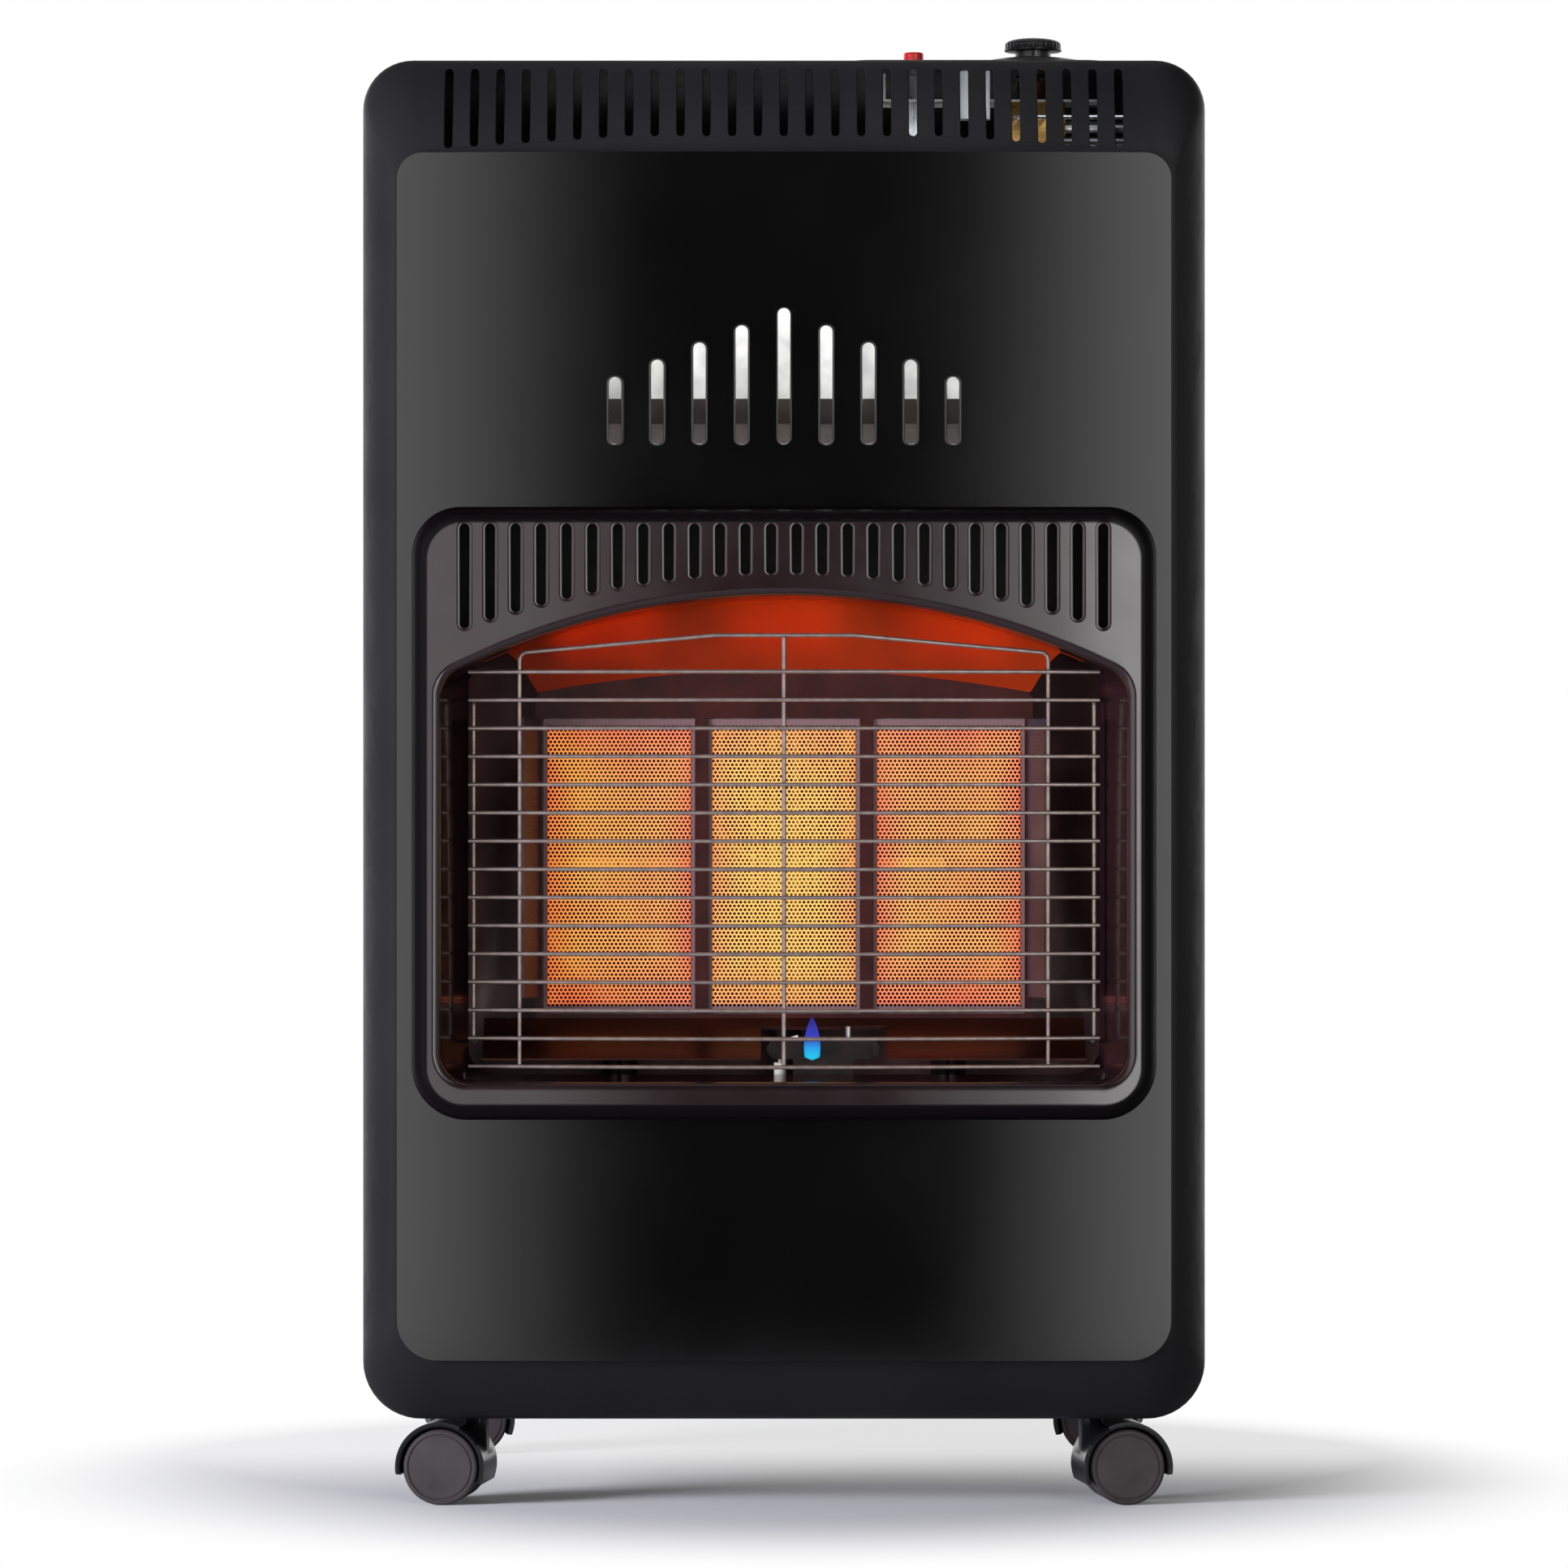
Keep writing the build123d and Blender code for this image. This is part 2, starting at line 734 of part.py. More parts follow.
def make_base_plate():
    ring, outline = cabinet_ring(cab_front_y, rear_y)
    body = ring & block(-cab_half, cab_half, cab_front_y, rear_y, cab_low, split_low)
    lip = slab(outline, rear_y - sheet, rear_y)
    body += lip & block(-cab_half, cab_half, rear_y - sheet, rear_y, cab_low, cab_low + base_lip)
    for name, side, back in castor_places():
        body -= post(side * castor_x, back * castor_y, 0, split_low, stem_radius + lap_gap)
    return drill_screws(body)


def make_cabinet_screws():
    screws = []
    head = half_width - cab_half
    for side, y, z in screw_places():
        top = side_drill(side, y, z, cab_half, cab_half + head, screw_head_radius)
        shank = side_drill(side, y, z, cab_half - screw_length, cab_half, screw_radius)
        screws.append(top + shank)
    return group(screws)


def make_heat_shield():
    half = cab_half - 2 * sheet - seat_gap
    low_corner = surround_radius_low + sheet
    outline = rounded_rect(half, base_top + seat_gap, shield_top, low_corner, shield_radius)
    plate = slab(outline, shield_y, shield_y + chassis_sheet)
    for side in (-1, 1):
        x0, x1 = sorted((side * half, side * (half - chassis_sheet)))
        low = split_low - tab
        plate += block(x0, x1, shield_y - shield_flange, shield_y, low, shield_top)
    return plate


def make_heat_deflector():
    wall = shield_y - lap_gap
    low = deflector_high
    profile = Polyline(
        (wall, low + deflector_foot),
        (wall, low - deflector_miter),
        (wall - deflector_reach, low - deflector_miter - deflector_fall),
        (wall - deflector_reach, low + chassis_sheet - deflector_fall),
        (wall - chassis_sheet, low + deflector_miter / 2),
        (wall - chassis_sheet, low + deflector_foot),
        close=True,
    )
    face = Plane(origin=(-deflector_half, 0, 0), x_dir=(0, 1, 0), z_dir=(1, 0, 0)) * make_face(profile)
    return extrude(face, amount=2 * deflector_half)


def vent_places():
    last = (vent_columns - 1) / 2
    for middle in (cover_low + vent_inset, cover_high - vent_inset):
        for row in range(vent_rows):
            z = middle + (row - (vent_rows - 1) / 2) * vent_pitch_z
            for column in range(vent_columns):
                yield (column - last) * vent_pitch_x, z


def dish_form(inset):
    back_y = rear_y + seat_gap + sheet
    rims = []
    for share, y in ((0.0, back_y), (1.0, cover_face_y)):
        edge = cover_rim + cover_dish_inset * share + inset
        outline = rounded_rect(
            cover_half - edge, cover_low + edge, cover_high - edge, cover_radius, cover_radius
        )
        rims.append(front_plane(y - (inset if share else 0)) * outline)
    return loft(rims)


def make_rear_cover():
    rim_y = rear_y + seat_gap
    rim_outline = rounded_rect(cover_half, cover_low, cover_high, cover_corner, cover_corner)
    rim = slab(rim_outline, rim_y, rim_y + sheet)
    mouth_edge = cover_rim + sheet
    mouth = rounded_rect(
        cover_half - mouth_edge,
        cover_low + mouth_edge,
        cover_high - mouth_edge,
        cover_radius,
        cover_radius,
    )
    body = rim + dish_form(0) - dish_form(sheet) - slab(mouth, rim_y - over, rim_y + sheet)
    vents = [Pos(x, z) * SlotOverall(vent_length, vent_width) for x, z in vent_places()]
    body -= slab(Sketch() + vents, cover_face_y - over, cover_face_y + over)
    return body - stud_holes(stud_radius + stud_clearance)


def make_cover_studs():
    studs = []
    for x, z in stud_places():
        shank = peg(x, z, rear_y - stud_root, rear_y + stud_reach, stud_radius)
        head = peg(x, z, rear_y - stud_root, rear_y - sheet, stud_radius + stud_head)
        studs.append(shank + head)
    return group(studs)


def make_burner_chassis():
    outer = opening_outline(chassis_inset)
    inner = opening_outline(chassis_inset + chassis_sheet)
    front = front_y + bezel_sheet + chassis_front_gap
    body = slab(outer - inner, front, chassis_back_y)
    body += slab(inner, chassis_back_y - chassis_sheet, chassis_back_y)
    for x in plaque_xs:
        body -= post(x, mixer_y, mixer_low, frame_low, mixer_radius + mixer_clearance)
    for x, radius in pilot_rods():
        body -= post(x, pilot_y, pilot_foot, frame_low, radius + lap_gap)
    return body


def pilot_rods():
    return (
        (pilot_x, pilot_radius),
        (thermocouple_x, thermocouple_radius),
        (electrode_x, electrode_radius),
    )


def plaque_outline(x, margin):
    return Pos(x, plaque_middle) * Rectangle(plaque_width + 2 * margin, plaque_height + 2 * margin)


def make_plaque(x):
    body = slab(plaque_outline(x, 0), plaque_y, plaque_y + plaque_thick)
    return fillet(body.faces().sort_by(Axis.Y)[0].edges(), plaque_edge)


def make_plaque_gaskets():
    rings = []
    for x in plaque_xs:
        ring = plaque_outline(x, gasket - gasket_fit) - plaque_outline(x, gasket_fit)
        back = plaque_y + plaque_thick - gasket_inset
        rings.append(slab(ring, plaque_y + gasket_inset, back))
    return group(rings)


def make_burner_box(x):
    front = plaque_y - seat_gap
    body = slab(plaque_outline(x, gasket + box_sheet), front, box_back_y)
    body -= slab(plaque_outline(x, gasket), front, box_back_y - box_sheet)
    mixer_high = plaque_middle - box_half_height + box_sheet / 2
    body += post(x, mixer_y, mixer_low, mixer_high, mixer_radius)
    return body - post(x, mixer_y, mixer_low, mixer_high + box_sheet, mixer_radius - box_sheet)


def make_burner_frame():
    half = plaque_pitch + box_half + frame_border
    outline = arch_outline(half, frame_low, frame_crown, frame_arch, frame_radius)
    body = slab(outline, frame_y, frame_y + frame_sheet)
    for x in plaque_xs:
        body -= slab(plaque_outline(x, window_fit), frame_y - over, plaque_y)
    return body


def make_reflector_upper():
    back = frame_y - seat_gap
    crown = frame_crown + reflector_sheet
    rise = opening_crown - liner_drop + bezel_sheet / 2 - crown
    back_half = plaque_pitch + box_half
    front_half = liner_half - reflector_aside
    sections = []
    for step in range(reflector_sections):
        share = step / (reflector_sections - 1)
        half = back_half + (front_half - back_half) * share
        top = crown + rise * math.sin(math.radians(90 * share))
        arch = frame_arch + (opening_arch - frame_arch) * share
        spring = top - arch + math.sqrt(arch**2 - half**2)
        sides = Polyline(
            (half, spring), (half, plaque_middle), (-half, plaque_middle), (-half, spring)
        )
        cap = ThreePointArc((-half, spring), (0, top), (half, spring))
        plane = front_plane(back - reflector_reach * share)
        sections.append(plane * make_face(Curve() + [sides, cap]))
    form = loft(sections)
    return form - Pos(0, 0, -reflector_sheet) * form


def side_plane(x):
    # Y runs to the right and Z up
    return Plane(origin=(x, 0, 0), x_dir=(0, 1, 0), z_dir=(1, 0, 0))


def make_reflector_lower():
    back = frame_y - seat_gap
    high = frame_low + low_reflector_lap
    low = high - low_reflector_drop
    front = back - low_reflector_reach
    curves = []
    for lift in (0, reflector_sheet):
        mid = ((back + front) / 2, (high + low) / 2 - low_reflector_belly + lift)
        curves.append(ThreePointArc((back, high + lift), mid, (front, low + lift)))
    ends = [Line((y, z), (y, z + reflector_sheet)) for y, z in ((back, high), (front, low))]
    face = side_plane(-low_reflector_half) * make_face(Curve() + curves + ends)
    body = extrude(face, amount=2 * low_reflector_half)
    left = pilot_x - pilot_shield_left - low_reflector_notch
    right = pilot_x + pilot_shield_right + low_reflector_notch
    return body - block(left, right, front - over, back - low_reflector_notch, low - over, high + over)


def make_reflector_side(side):
    x0 = plaque_pitch + plaque_width / 2 + side_reflector_gap
    y0 = frame_y - seat_gap
    x1 = x0 + side_reflector_flare
    y1 = y0 - side_reflector_reach
    t = reflector_sheet
    profile = Polyline((x0, y0), (x1, y1), (x1 + t, y1), (x0 + t, y0), close=True)
    height = plaque_height - side_reflector_short
    low = plaque_middle + plaque_height / 2 - height
    body = extrude(Pos(0, 0, low) * make_face(profile), amount=height)
    return mirror(body, about=Plane.YZ) if side < 0 else body


def make_injector_rail():
    half = plaque_pitch + rail_end
    y0 = mixer_y - rail_half_depth
    y1 = mixer_y + rail_half_depth
    bar = block(-half, half, y0, y1, rail_low, rail_low + sheet)
    for x in (-plaque_pitch / 2, plaque_pitch / 2):
        top = chassis_floor - chassis_sheet - lap_gap
        bar += block(x - rail_leg_half, x + rail_leg_half, y1 - sheet, y1, rail_low, top)
    for x in plaque_xs:
        bar -= post(x, mixer_y, rail_low - over, rail_low + over, injector_radius + lap_gap / 2)
    return bar


def make_pilot_bracket():
    face_y = pilot_y - pilot_setback
    left = pilot_x - pilot_shield_left
    right = pilot_x + pilot_shield_right
    foot = chassis_floor + lap_gap / 2
    middle = (left + right) / 2
    eye = pilot_shield_top - pilot_shield_height / 2
    shield = Pos(middle, eye) * SlotOverall(right - left, pilot_shield_height)
    stalk = Pos(middle, (foot + eye) / 2) * Rectangle(2 * pilot_stalk_half, eye - foot)
    body = slab(shield + stalk, face_y, face_y + sheet)
    half = (right - left - pilot_shield_height) / 2
    body += block(middle - half, middle + half, face_y, pilot_y + pilot_shelf_back, foot, foot + sheet)
    for x, radius in pilot_rods():
        body -= post(x, pilot_y, foot - over, foot + over, radius + lap_gap)
    return body


def make_pilot_burner():
    head = pilot_shield_top - pilot_head_drop
    body = post(pilot_x, pilot_y, pilot_foot, head, pilot_radius)
    collar = chassis_floor + 2 * sheet
    body += post(pilot_x, pilot_y, collar, collar + pilot_radius, pilot_radius + pilot_wall)
    body -= post(pilot_x, pilot_y, head - 2 * pilot_radius, head, pilot_radius - pilot_wall)
    half = pilot_radius - pilot_wall
    left = pilot_x - half
    right = pilot_x + half
    mouth = block(left, right, pilot_y - 2 * pilot_radius, pilot_y, head - pilot_radius, head)
    return body - mouth


def make_thermocouple():
    tip = post(thermocouple_x, pilot_y, tip_low, tip_low + tip_length, thermocouple_radius - tip_step)
    probe = post(thermocouple_x, pilot_y, pilot_foot, tip_low, thermocouple_radius) + tip
    lane = tube_lane + probe_lane
    end_y = control_y - valve_half_depth
    x = knob_x - valve_half + probe_port_aside
    points = [
        (thermocouple_x, pilot_y, pilot_foot),
        (thermocouple_x, pilot_y, probe_run),
        (lane, pilot_y, probe_run),
        (lane, pilot_y, probe_port),
        (x, pilot_y, probe_port),
        (x, end_y, probe_port),
    ]
    return group([probe, wire(points, lead_radius, probe_bend)])


def make_spark_electrode():
    insulator = post(electrode_x, pilot_y, pilot_foot, electrode_top, electrode_radius)
    points = [
        (electrode_x, pilot_y, electrode_top),
        (electrode_x, pilot_y, electrode_top + electrode_rise),
        (electrode_x + electrode_reach, pilot_y, electrode_top + electrode_rise + electrode_bend),
    ]
    return insulator + wire(points, electrode_wire, electrode_bend)


def make_gas_tubes():
    # each tube carries its injector, which points up into a mixing tube
    tubes = []
    start = knob_x + valve_half
    lane_y = control_y - tube_forward
    for order, x in enumerate(reversed(plaque_xs)):
        lane = tube_lane + tube_step * order
        high = valve_low + tube_port + tube_step * order
        low = injector_low - injector_tail - tube_step * order
        points = [
            (start, lane_y, high),
            (lane, lane_y, high),
            (lane, lane_y, low),
            (x, lane_y, low),
            (x, mixer_y, low),
            (x, mixer_y, injector_low),
        ]
        top = injector_low + injector_length
        body = wire(points, tube_radius, tube_bend)
        body += post(x, mixer_y, injector_low, top, injector_radius)
        tubes.append(body + post(x, mixer_y, top, top + nozzle_length, nozzle_radius))
    return group(tubes)


def make_pilot_tube():
    lane = tube_lane + tube_step
    y0 = control_y - valve_half_depth
    lane_y = y0 - pilot_lane_forward
    x = knob_x + pilot_port_aside
    points = [
        (x, y0, pilot_port),
        (x, lane_y, pilot_port),
        (lane, lane_y, pilot_port),
        (lane, lane_y, pilot_run),
        (pilot_x, lane_y, pilot_run),
        (pilot_x, pilot_y, pilot_run),
        (pilot_x, pilot_y, pilot_foot),
    ]
    return wire(points, pilot_tube_radius, pilot_tube_bend)


def make_ignition_lead():
    lane_y = control_y - lead_lane_forward
    start_y = control_y - tube_forward
    points = [
        (button_x, start_y, piezo_low),
        (button_x, start_y, lead_shoulder + lead_turn),
        (-lead_lane, lane_y, lead_shoulder),
        (-lead_lane, lane_y, lead_run),
        (electrode_x, pilot_y, lead_run),
        (electrode_x, pilot_y, pilot_foot),
    ]
    return wire(points, lead_radius, lead_bend)


def guard_depth(x):
    return guard_y + guard_bend - math.sqrt(guard_bend**2 - x**2)


def make_wire_guard():
    wires = []
    for index in range(guard_wires):
        z = guard_low + guard_pitch * index
        end = guard_depth(guard_half)
        path = ThreePointArc((-guard_half, end, z), (0, guard_y, z), (guard_half, end, z))
        wires.append(sweep(Plane(origin=path @ 0, z_dir=path % 0) * Circle(wire_radius), path=path))
    behind = 2 * wire_radius
    low = guard_low - wire_radius
    side_y = guard_depth(hoop_half) + behind
    top_y = guard_depth(hoop_flat) + behind
    hoop = [
        (-hoop_half, side_y, low),
        (-hoop_half, side_y, hoop_shoulder),
        (-hoop_flat, top_y, hoop_crown),
        (hoop_flat, top_y, hoop_crown),
        (hoop_half, side_y, hoop_shoulder),
        (hoop_half, side_y, low),
    ]
    wires.append(wire(hoop, wire_radius, wire_bend))
    wires.append(post(0, guard_y + behind, low, hoop_crown - wire_radius, middle_wire_radius))
    leg_y = guard_depth(leg_half) + behind
    seat = chassis_back_y - chassis_sheet - seat_gap
    for side in (-1, 1):
        x = side * leg_half
        points = [(x, seat, leg_high), (x, leg_y, leg_high), (x, leg_y, leg_low), (x, seat, leg_low)]
        wires.append(wire(points, wire_radius, wire_bend))
    return group(wires)


def make_valve_bracket():
    y0 = control_y - bracket_half_depth
    y1 = control_y + bracket_half_depth
    body = block(bracket_left, bracket_right, y0, y1, bracket_under, bracket_plate_top)
    ceiling = cover_ceiling - lap_gap
    body += block(bracket_left, bracket_left + sheet, y0, y1, bracket_under, ceiling)
    leg_y = y0 + bracket_leg_depth
    body += block(bracket_right - sheet, bracket_right, y0, leg_y, bracket_leg_low, ceiling)
    neck = button_radius + neck_wall + lap_gap
    body -= post(button_x, control_y, bracket_under - over, cab_top, neck)
    return body - post(knob_x, control_y, bracket_under - over, cab_top, valve_neck_radius + lap_gap)


def make_gas_valve():
    body = block(
        knob_x - valve_half,
        knob_x + valve_half,
        control_y - valve_half_depth,
        control_y + valve_half_depth,
        valve_low,
        bracket_under,
    )
    body = chamfer(body.edges().filter_by(Axis.Z), valve_chamfer)
    neck_top = bracket_plate_top + valve_neck_rise
    body += post(knob_x, control_y, bracket_under, neck_top, valve_neck_radius)
    return body - post(knob_x, control_y, spindle_floor, cab_top, spindle_radius + running_fit)


def make_valve_spindle():
    low = spindle_floor + seat_gap
    return post(knob_x, control_y, low, knob_top - spindle_cover, spindle_radius)


def make_gas_inlet():
    y0 = control_y + valve_half_depth
    y1 = y0 + inlet_back
    z = valve_low + inlet_rise
    points = [(knob_x, y0, z), (knob_x, y1, z), (knob_x, y1, z - inlet_turn)]
    body = wire(points, inlet_radius + inlet_elbow, inlet_bend)
    return body + post(knob_x, y1, z - inlet_drop, z - inlet_turn, inlet_radius)


def make_piezo_igniter():
    neck = button_radius + neck_wall
    body = post(button_x, control_y, piezo_low, bracket_under, piezo_radius)
    body += post(button_x, control_y, bracket_under, cover_ceiling, neck)
    floor = button_top - button_length - button_push - seat_gap
    return body - post(button_x, control_y, floor, cab_top, button_radius + running_fit)


def make_ignition_button():
    body = post(button_x, control_y, button_top - button_length, button_top, button_radius)
    return fillet(body.edges().group_by(Axis.Z)[-1], button_edge)


def make_tilt_switch():
    y1 = control_y - bracket_half_depth - switch_setback
    top = cover_ceiling - lap_gap
    right = switch_left + switch_width
    body = block(switch_left, right, y1 - switch_depth, y1, top - switch_height, top)
    return fillet(body.edges().filter_by(Axis.Z), switch_corner)


def make_control_plate():
    width = plate_right - plate_left
    middle = (plate_left + plate_right) / 2
    outline = RectangleRounded(width, 2 * plate_half_depth, plate_corner)
    body = extrude(Pos(middle, control_y, plate_base) * outline, amount=plate_thick)
    body = fillet(body.edges().group_by(Axis.Z)[-1], plate_edge)
    sphere = (dial_radius**2 + dial_rise**2) / (2 * dial_rise)
    dome = Pos(knob_x, control_y, dial_top - sphere) * Sphere(sphere)
    body += dome & post(knob_x, control_y, plate_top, dial_top, dial_radius)
    body -= post(knob_x, control_y, plate_top - hub_recess, dial_top, hub_radius + hub_clearance)
    body -= post(knob_x, control_y, plate_base, dial_top, spindle_radius + spindle_clearance)
    return body - post(button_x, control_y, plate_base, dial_top, button_radius + lap_gap)


def make_control_knob():
    low = dial_top + knob_push - lap_gap
    rim = low + knob_skirt
    edge = Polyline((0, knob_top), (0, low), (knob_radius, low), (knob_radius, rim))
    cap = Spline((knob_radius, rim), (0, knob_top), tangents=((0, 1), (-1, 0)))
    body = revolve(Plane.XZ * make_face(Curve() + [edge, cap]), Axis.Z)
    for place in PolarLocations(knob_radius + flute_setback, knob_flutes):
        body -= place * post(0, 0, low - over, knob_top + over, flute_radius)
    hub_low = plate_top - hub_recess + knob_push + seat_gap
    body += post(0, 0, hub_low, rim, hub_radius)
    bore_top = knob_top - spindle_cover + knob_push + seat_gap
    body -= post(0, 0, hub_low, bore_top, spindle_radius + running_fit)
    return Pos(knob_x, control_y, 0) * body


def castor_frame(side, back):
    # local X runs from the stem to the wheels and local Y along the axle
    yaw = castor_yaw * -side * back
    turn = 180 + yaw if side < 0 else yaw
    return Pos(side * castor_x, back * castor_y, 0) * Rot(0, 0, turn)


def axle_rod(x, y0, y1, radius):
    return Pos(x, (y0 + y1) / 2, wheel_radius) * Rot(90, 0, 0) * Cylinder(radius, y1 - y0)


def make_castor_hood(side, back):
    boss_top = cab_low - boss_gap
    body = axle_rod(castor_trail, -hood_half, hood_half, hood_outer)
    body += post(0, 0, wheel_radius, boss_top, boss_radius)
    for direction in (-1, 1):
        y0, y1 = sorted((direction * web_half, direction * (hood_half + over)))
        body -= axle_rod(castor_trail, y0, y1, hood_inner)
    # the hood ends a little under the axle, lower on the stem's side
    outer = wheel_radius - hood_outer * math.sin(math.radians(hood_foot_outer))
    inner = wheel_radius - hood_outer * math.sin(math.radians(hood_foot_inner))
    reach = 2 * hood_outer
    fall = (outer - inner) / (2 * hood_outer)
    cut = Polyline(
        (castor_trail - reach, inner - fall * hood_outer),
        (castor_trail + reach, outer + fall * hood_outer),
        (castor_trail + reach, -reach),
        (castor_trail - reach, -reach),
        close=True,
    )
    body -= slab(make_face(cut), -hood_half - over, hood_half + over)
    body -= post(0, 0, wheel_radius + stem_root, boss_top + over, stem_radius)
    body -= axle_rod(castor_trail, -hood_half, hood_half, axle_radius)
    return castor_frame(side, back) * body


def make_castor_pins(side, back):
    stem = post(0, 0, wheel_radius + stem_root, base_top + socket_height - stem_short, stem_radius)
    reach = web_half + wheel_gap + wheel_width - axle_short
    axle = axle_rod(castor_trail, -reach, reach, axle_radius)
    place = castor_frame(side, back)
    return group([place * stem, place * axle])


def make_castor_wheel(side, back, direction):
    inner = web_half + wheel_gap
    outer = inner + wheel_width
    body = axle_rod(castor_trail, inner, outer, wheel_radius)
    face = body.faces().sort_by(Axis.Y)[-1]
    body = fillet(face.edges(), wheel_edge)
    body -= axle_rod(castor_trail, inner - over, outer - wheel_cap, axle_radius + running_fit)
    if direction < 0:
        body = mirror(body, about=Plane.XZ)
    return castor_frame(side, back) * body


def make_castor_sockets():
    sockets = []
    for name, side, back in castor_places():
        x = side * castor_x
        y = back * castor_y
        body = post(x, y, base_top, base_top + socket_height, socket_radius)
        body += post(x, y, base_top, base_top + socket_flange_thick, socket_radius + socket_flange)
        top = base_top + socket_height - socket_cap
        sockets.append(body - post(x, y, base_top, top, stem_radius + running_fit))
    return group(sockets)


def make_all():
    yield "front_surround", make_front_surround()
    yield "front_panel", make_front_panel()
    yield "side_panel_left", make_side_panel(-1)
    yield "side_panel_right", make_side_panel(1)
    yield "top_cover", make_top_cover()
    yield "base_plate", make_base_plate()
    yield "cabinet_screws", make_cabinet_screws()
    yield "heat_shield", make_heat_shield()
    yield "heat_deflector", make_heat_deflector()
    yield "rear_cover", make_rear_cover()
    yield "cover_studs", make_cover_studs()
    yield "burner_bezel", make_burner_bezel()
    yield "wire_guard", make_wire_guard()
    yield "burner_chassis", make_burner_chassis()
    yield "burner_frame", make_burner_frame()
    yield "reflector_upper", make_reflector_upper()
    yield "reflector_lower", make_reflector_lower()
    yield "reflector_left", make_reflector_side(-1)
    yield "reflector_right", make_reflector_side(1)
    for name, x in zip(("left", "centre", "right"), plaque_xs):
        yield "ceramic_plaque_" + name, make_plaque(x)
        yield "burner_box_" + name, make_burner_box(x)
    yield "plaque_gaskets", make_plaque_gaskets()
    yield "injector_rail", make_injector_rail()
    yield "pilot_bracket", make_pilot_bracket()
    yield "pilot_burner", make_pilot_burner()
    yield "thermocouple", make_thermocouple()
    yield "spark_electrode", make_spark_electrode()
    yield "gas_tubes", make_gas_tubes()
    yield "pilot_tube", make_pilot_tube()
    yield "ignition_lead", make_ignition_lead()
    yield "gas_valve", make_gas_valve()
    yield "valve_bracket", make_valve_bracket()
    yield "valve_spindle", make_valve_spindle()
    yield "gas_inlet", make_gas_inlet()
    yield "control_plate", make_control_plate()
    yield "control_knob", make_control_knob()
    yield "piezo_igniter", make_piezo_igniter()
    yield "ignition_button", make_ignition_button()
    yield "tilt_switch", make_tilt_switch()
    yield "castor_sockets", make_castor_sockets()
    for place, side, back in castor_places():
        yield "castor_hood_" + place, make_castor_hood(side, back)
        yield "castor_pins_" + place, make_castor_pins(side, back)
        yield "castor_wheel_" + place + "_a", make_castor_wheel(side, back, -1)
        yield "castor_wheel_" + place + "_b", make_castor_wheel(side, back, 1)


os.makedirs("parts", exist_ok=True)
for node, shape in make_all():
    export_step(shape, "parts/" + node + ".step")
    print(node, round(shape.volume))
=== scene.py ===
import bpy
import bmesh
import json
import math
from mathutils import Matrix, Vector
from mathutils.bvhtree import BVHTree


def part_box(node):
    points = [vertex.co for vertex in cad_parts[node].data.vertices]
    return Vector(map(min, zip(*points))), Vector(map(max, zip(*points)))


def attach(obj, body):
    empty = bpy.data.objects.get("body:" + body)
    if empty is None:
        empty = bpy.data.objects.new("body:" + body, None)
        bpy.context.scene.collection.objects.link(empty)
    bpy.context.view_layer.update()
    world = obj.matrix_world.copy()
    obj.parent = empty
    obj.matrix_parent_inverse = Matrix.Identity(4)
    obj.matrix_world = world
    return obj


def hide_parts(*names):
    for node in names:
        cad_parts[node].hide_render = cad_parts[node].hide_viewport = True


# A portable gas cabinet heater, lit and ready for use. X is to the right, Y to the back and Z up, in metres.
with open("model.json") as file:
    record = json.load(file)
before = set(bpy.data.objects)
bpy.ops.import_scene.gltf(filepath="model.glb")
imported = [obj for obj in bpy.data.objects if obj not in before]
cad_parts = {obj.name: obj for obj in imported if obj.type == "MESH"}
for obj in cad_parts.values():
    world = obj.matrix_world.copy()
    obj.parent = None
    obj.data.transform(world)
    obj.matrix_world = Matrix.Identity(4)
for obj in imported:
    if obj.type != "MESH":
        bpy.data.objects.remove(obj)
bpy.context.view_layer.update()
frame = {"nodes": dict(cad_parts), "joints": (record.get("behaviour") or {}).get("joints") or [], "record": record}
print("stage: frame loaded")

mm = 0.001


def linear(code):
    # sRGB hex to the linear colour that shaders take
    parts = [int(code[i:i + 2], 16) / 255 for i in (1, 3, 5)]
    return [v / 12.92 if v <= 0.04045 else ((v + 0.055) / 1.055) ** 2.4 for v in parts] + [1.0]


def add(tree, kind, links=None, **settings):
    # adds a node, sets it up, and gives each named or numbered input a value or a link
    node = tree.nodes.new(kind)
    for name, value in settings.items():
        setattr(node, name, value)
    for key, value in (links or {}).items():
        if isinstance(value, bpy.types.NodeSocket):
            tree.links.new(value, node.inputs[key])
        else:
            node.inputs[key].default_value = value
    return node


def newMaterial(name):
    material = bpy.data.materials.new(name)
    material.use_nodes = True
    tree = material.node_tree
    tree.nodes.clear()
    place = add(tree, "ShaderNodeTexCoord").outputs["Object"]
    return material, tree, place


def close(tree, shader):
    add(tree, "ShaderNodeOutputMaterial", {"Surface": shader.outputs[0]})


def shape(tree, kind, links=None, **settings):
    # a Geometry Nodes node of which only the first output is needed
    return add(tree, "GeometryNode" + kind, links, **settings).outputs[0]


def vector(tree, x=0.0, y=0.0, z=0.0):
    return add(tree, "ShaderNodeCombineXYZ", {"X": x, "Y": y, "Z": z}).outputs[0]


def apart(tree, place):
    # a point's X, Y and Z
    return add(tree, "ShaderNodeSeparateXYZ", {"Vector": place}).outputs


def maths(tree, operation, *values, **settings):
    return add(tree, "ShaderNodeMath", dict(enumerate(values)), operation=operation, **settings).outputs[0]


def length(tree, place):
    return add(tree, "ShaderNodeVectorMath", {0: place}, operation="LENGTH").outputs["Value"]


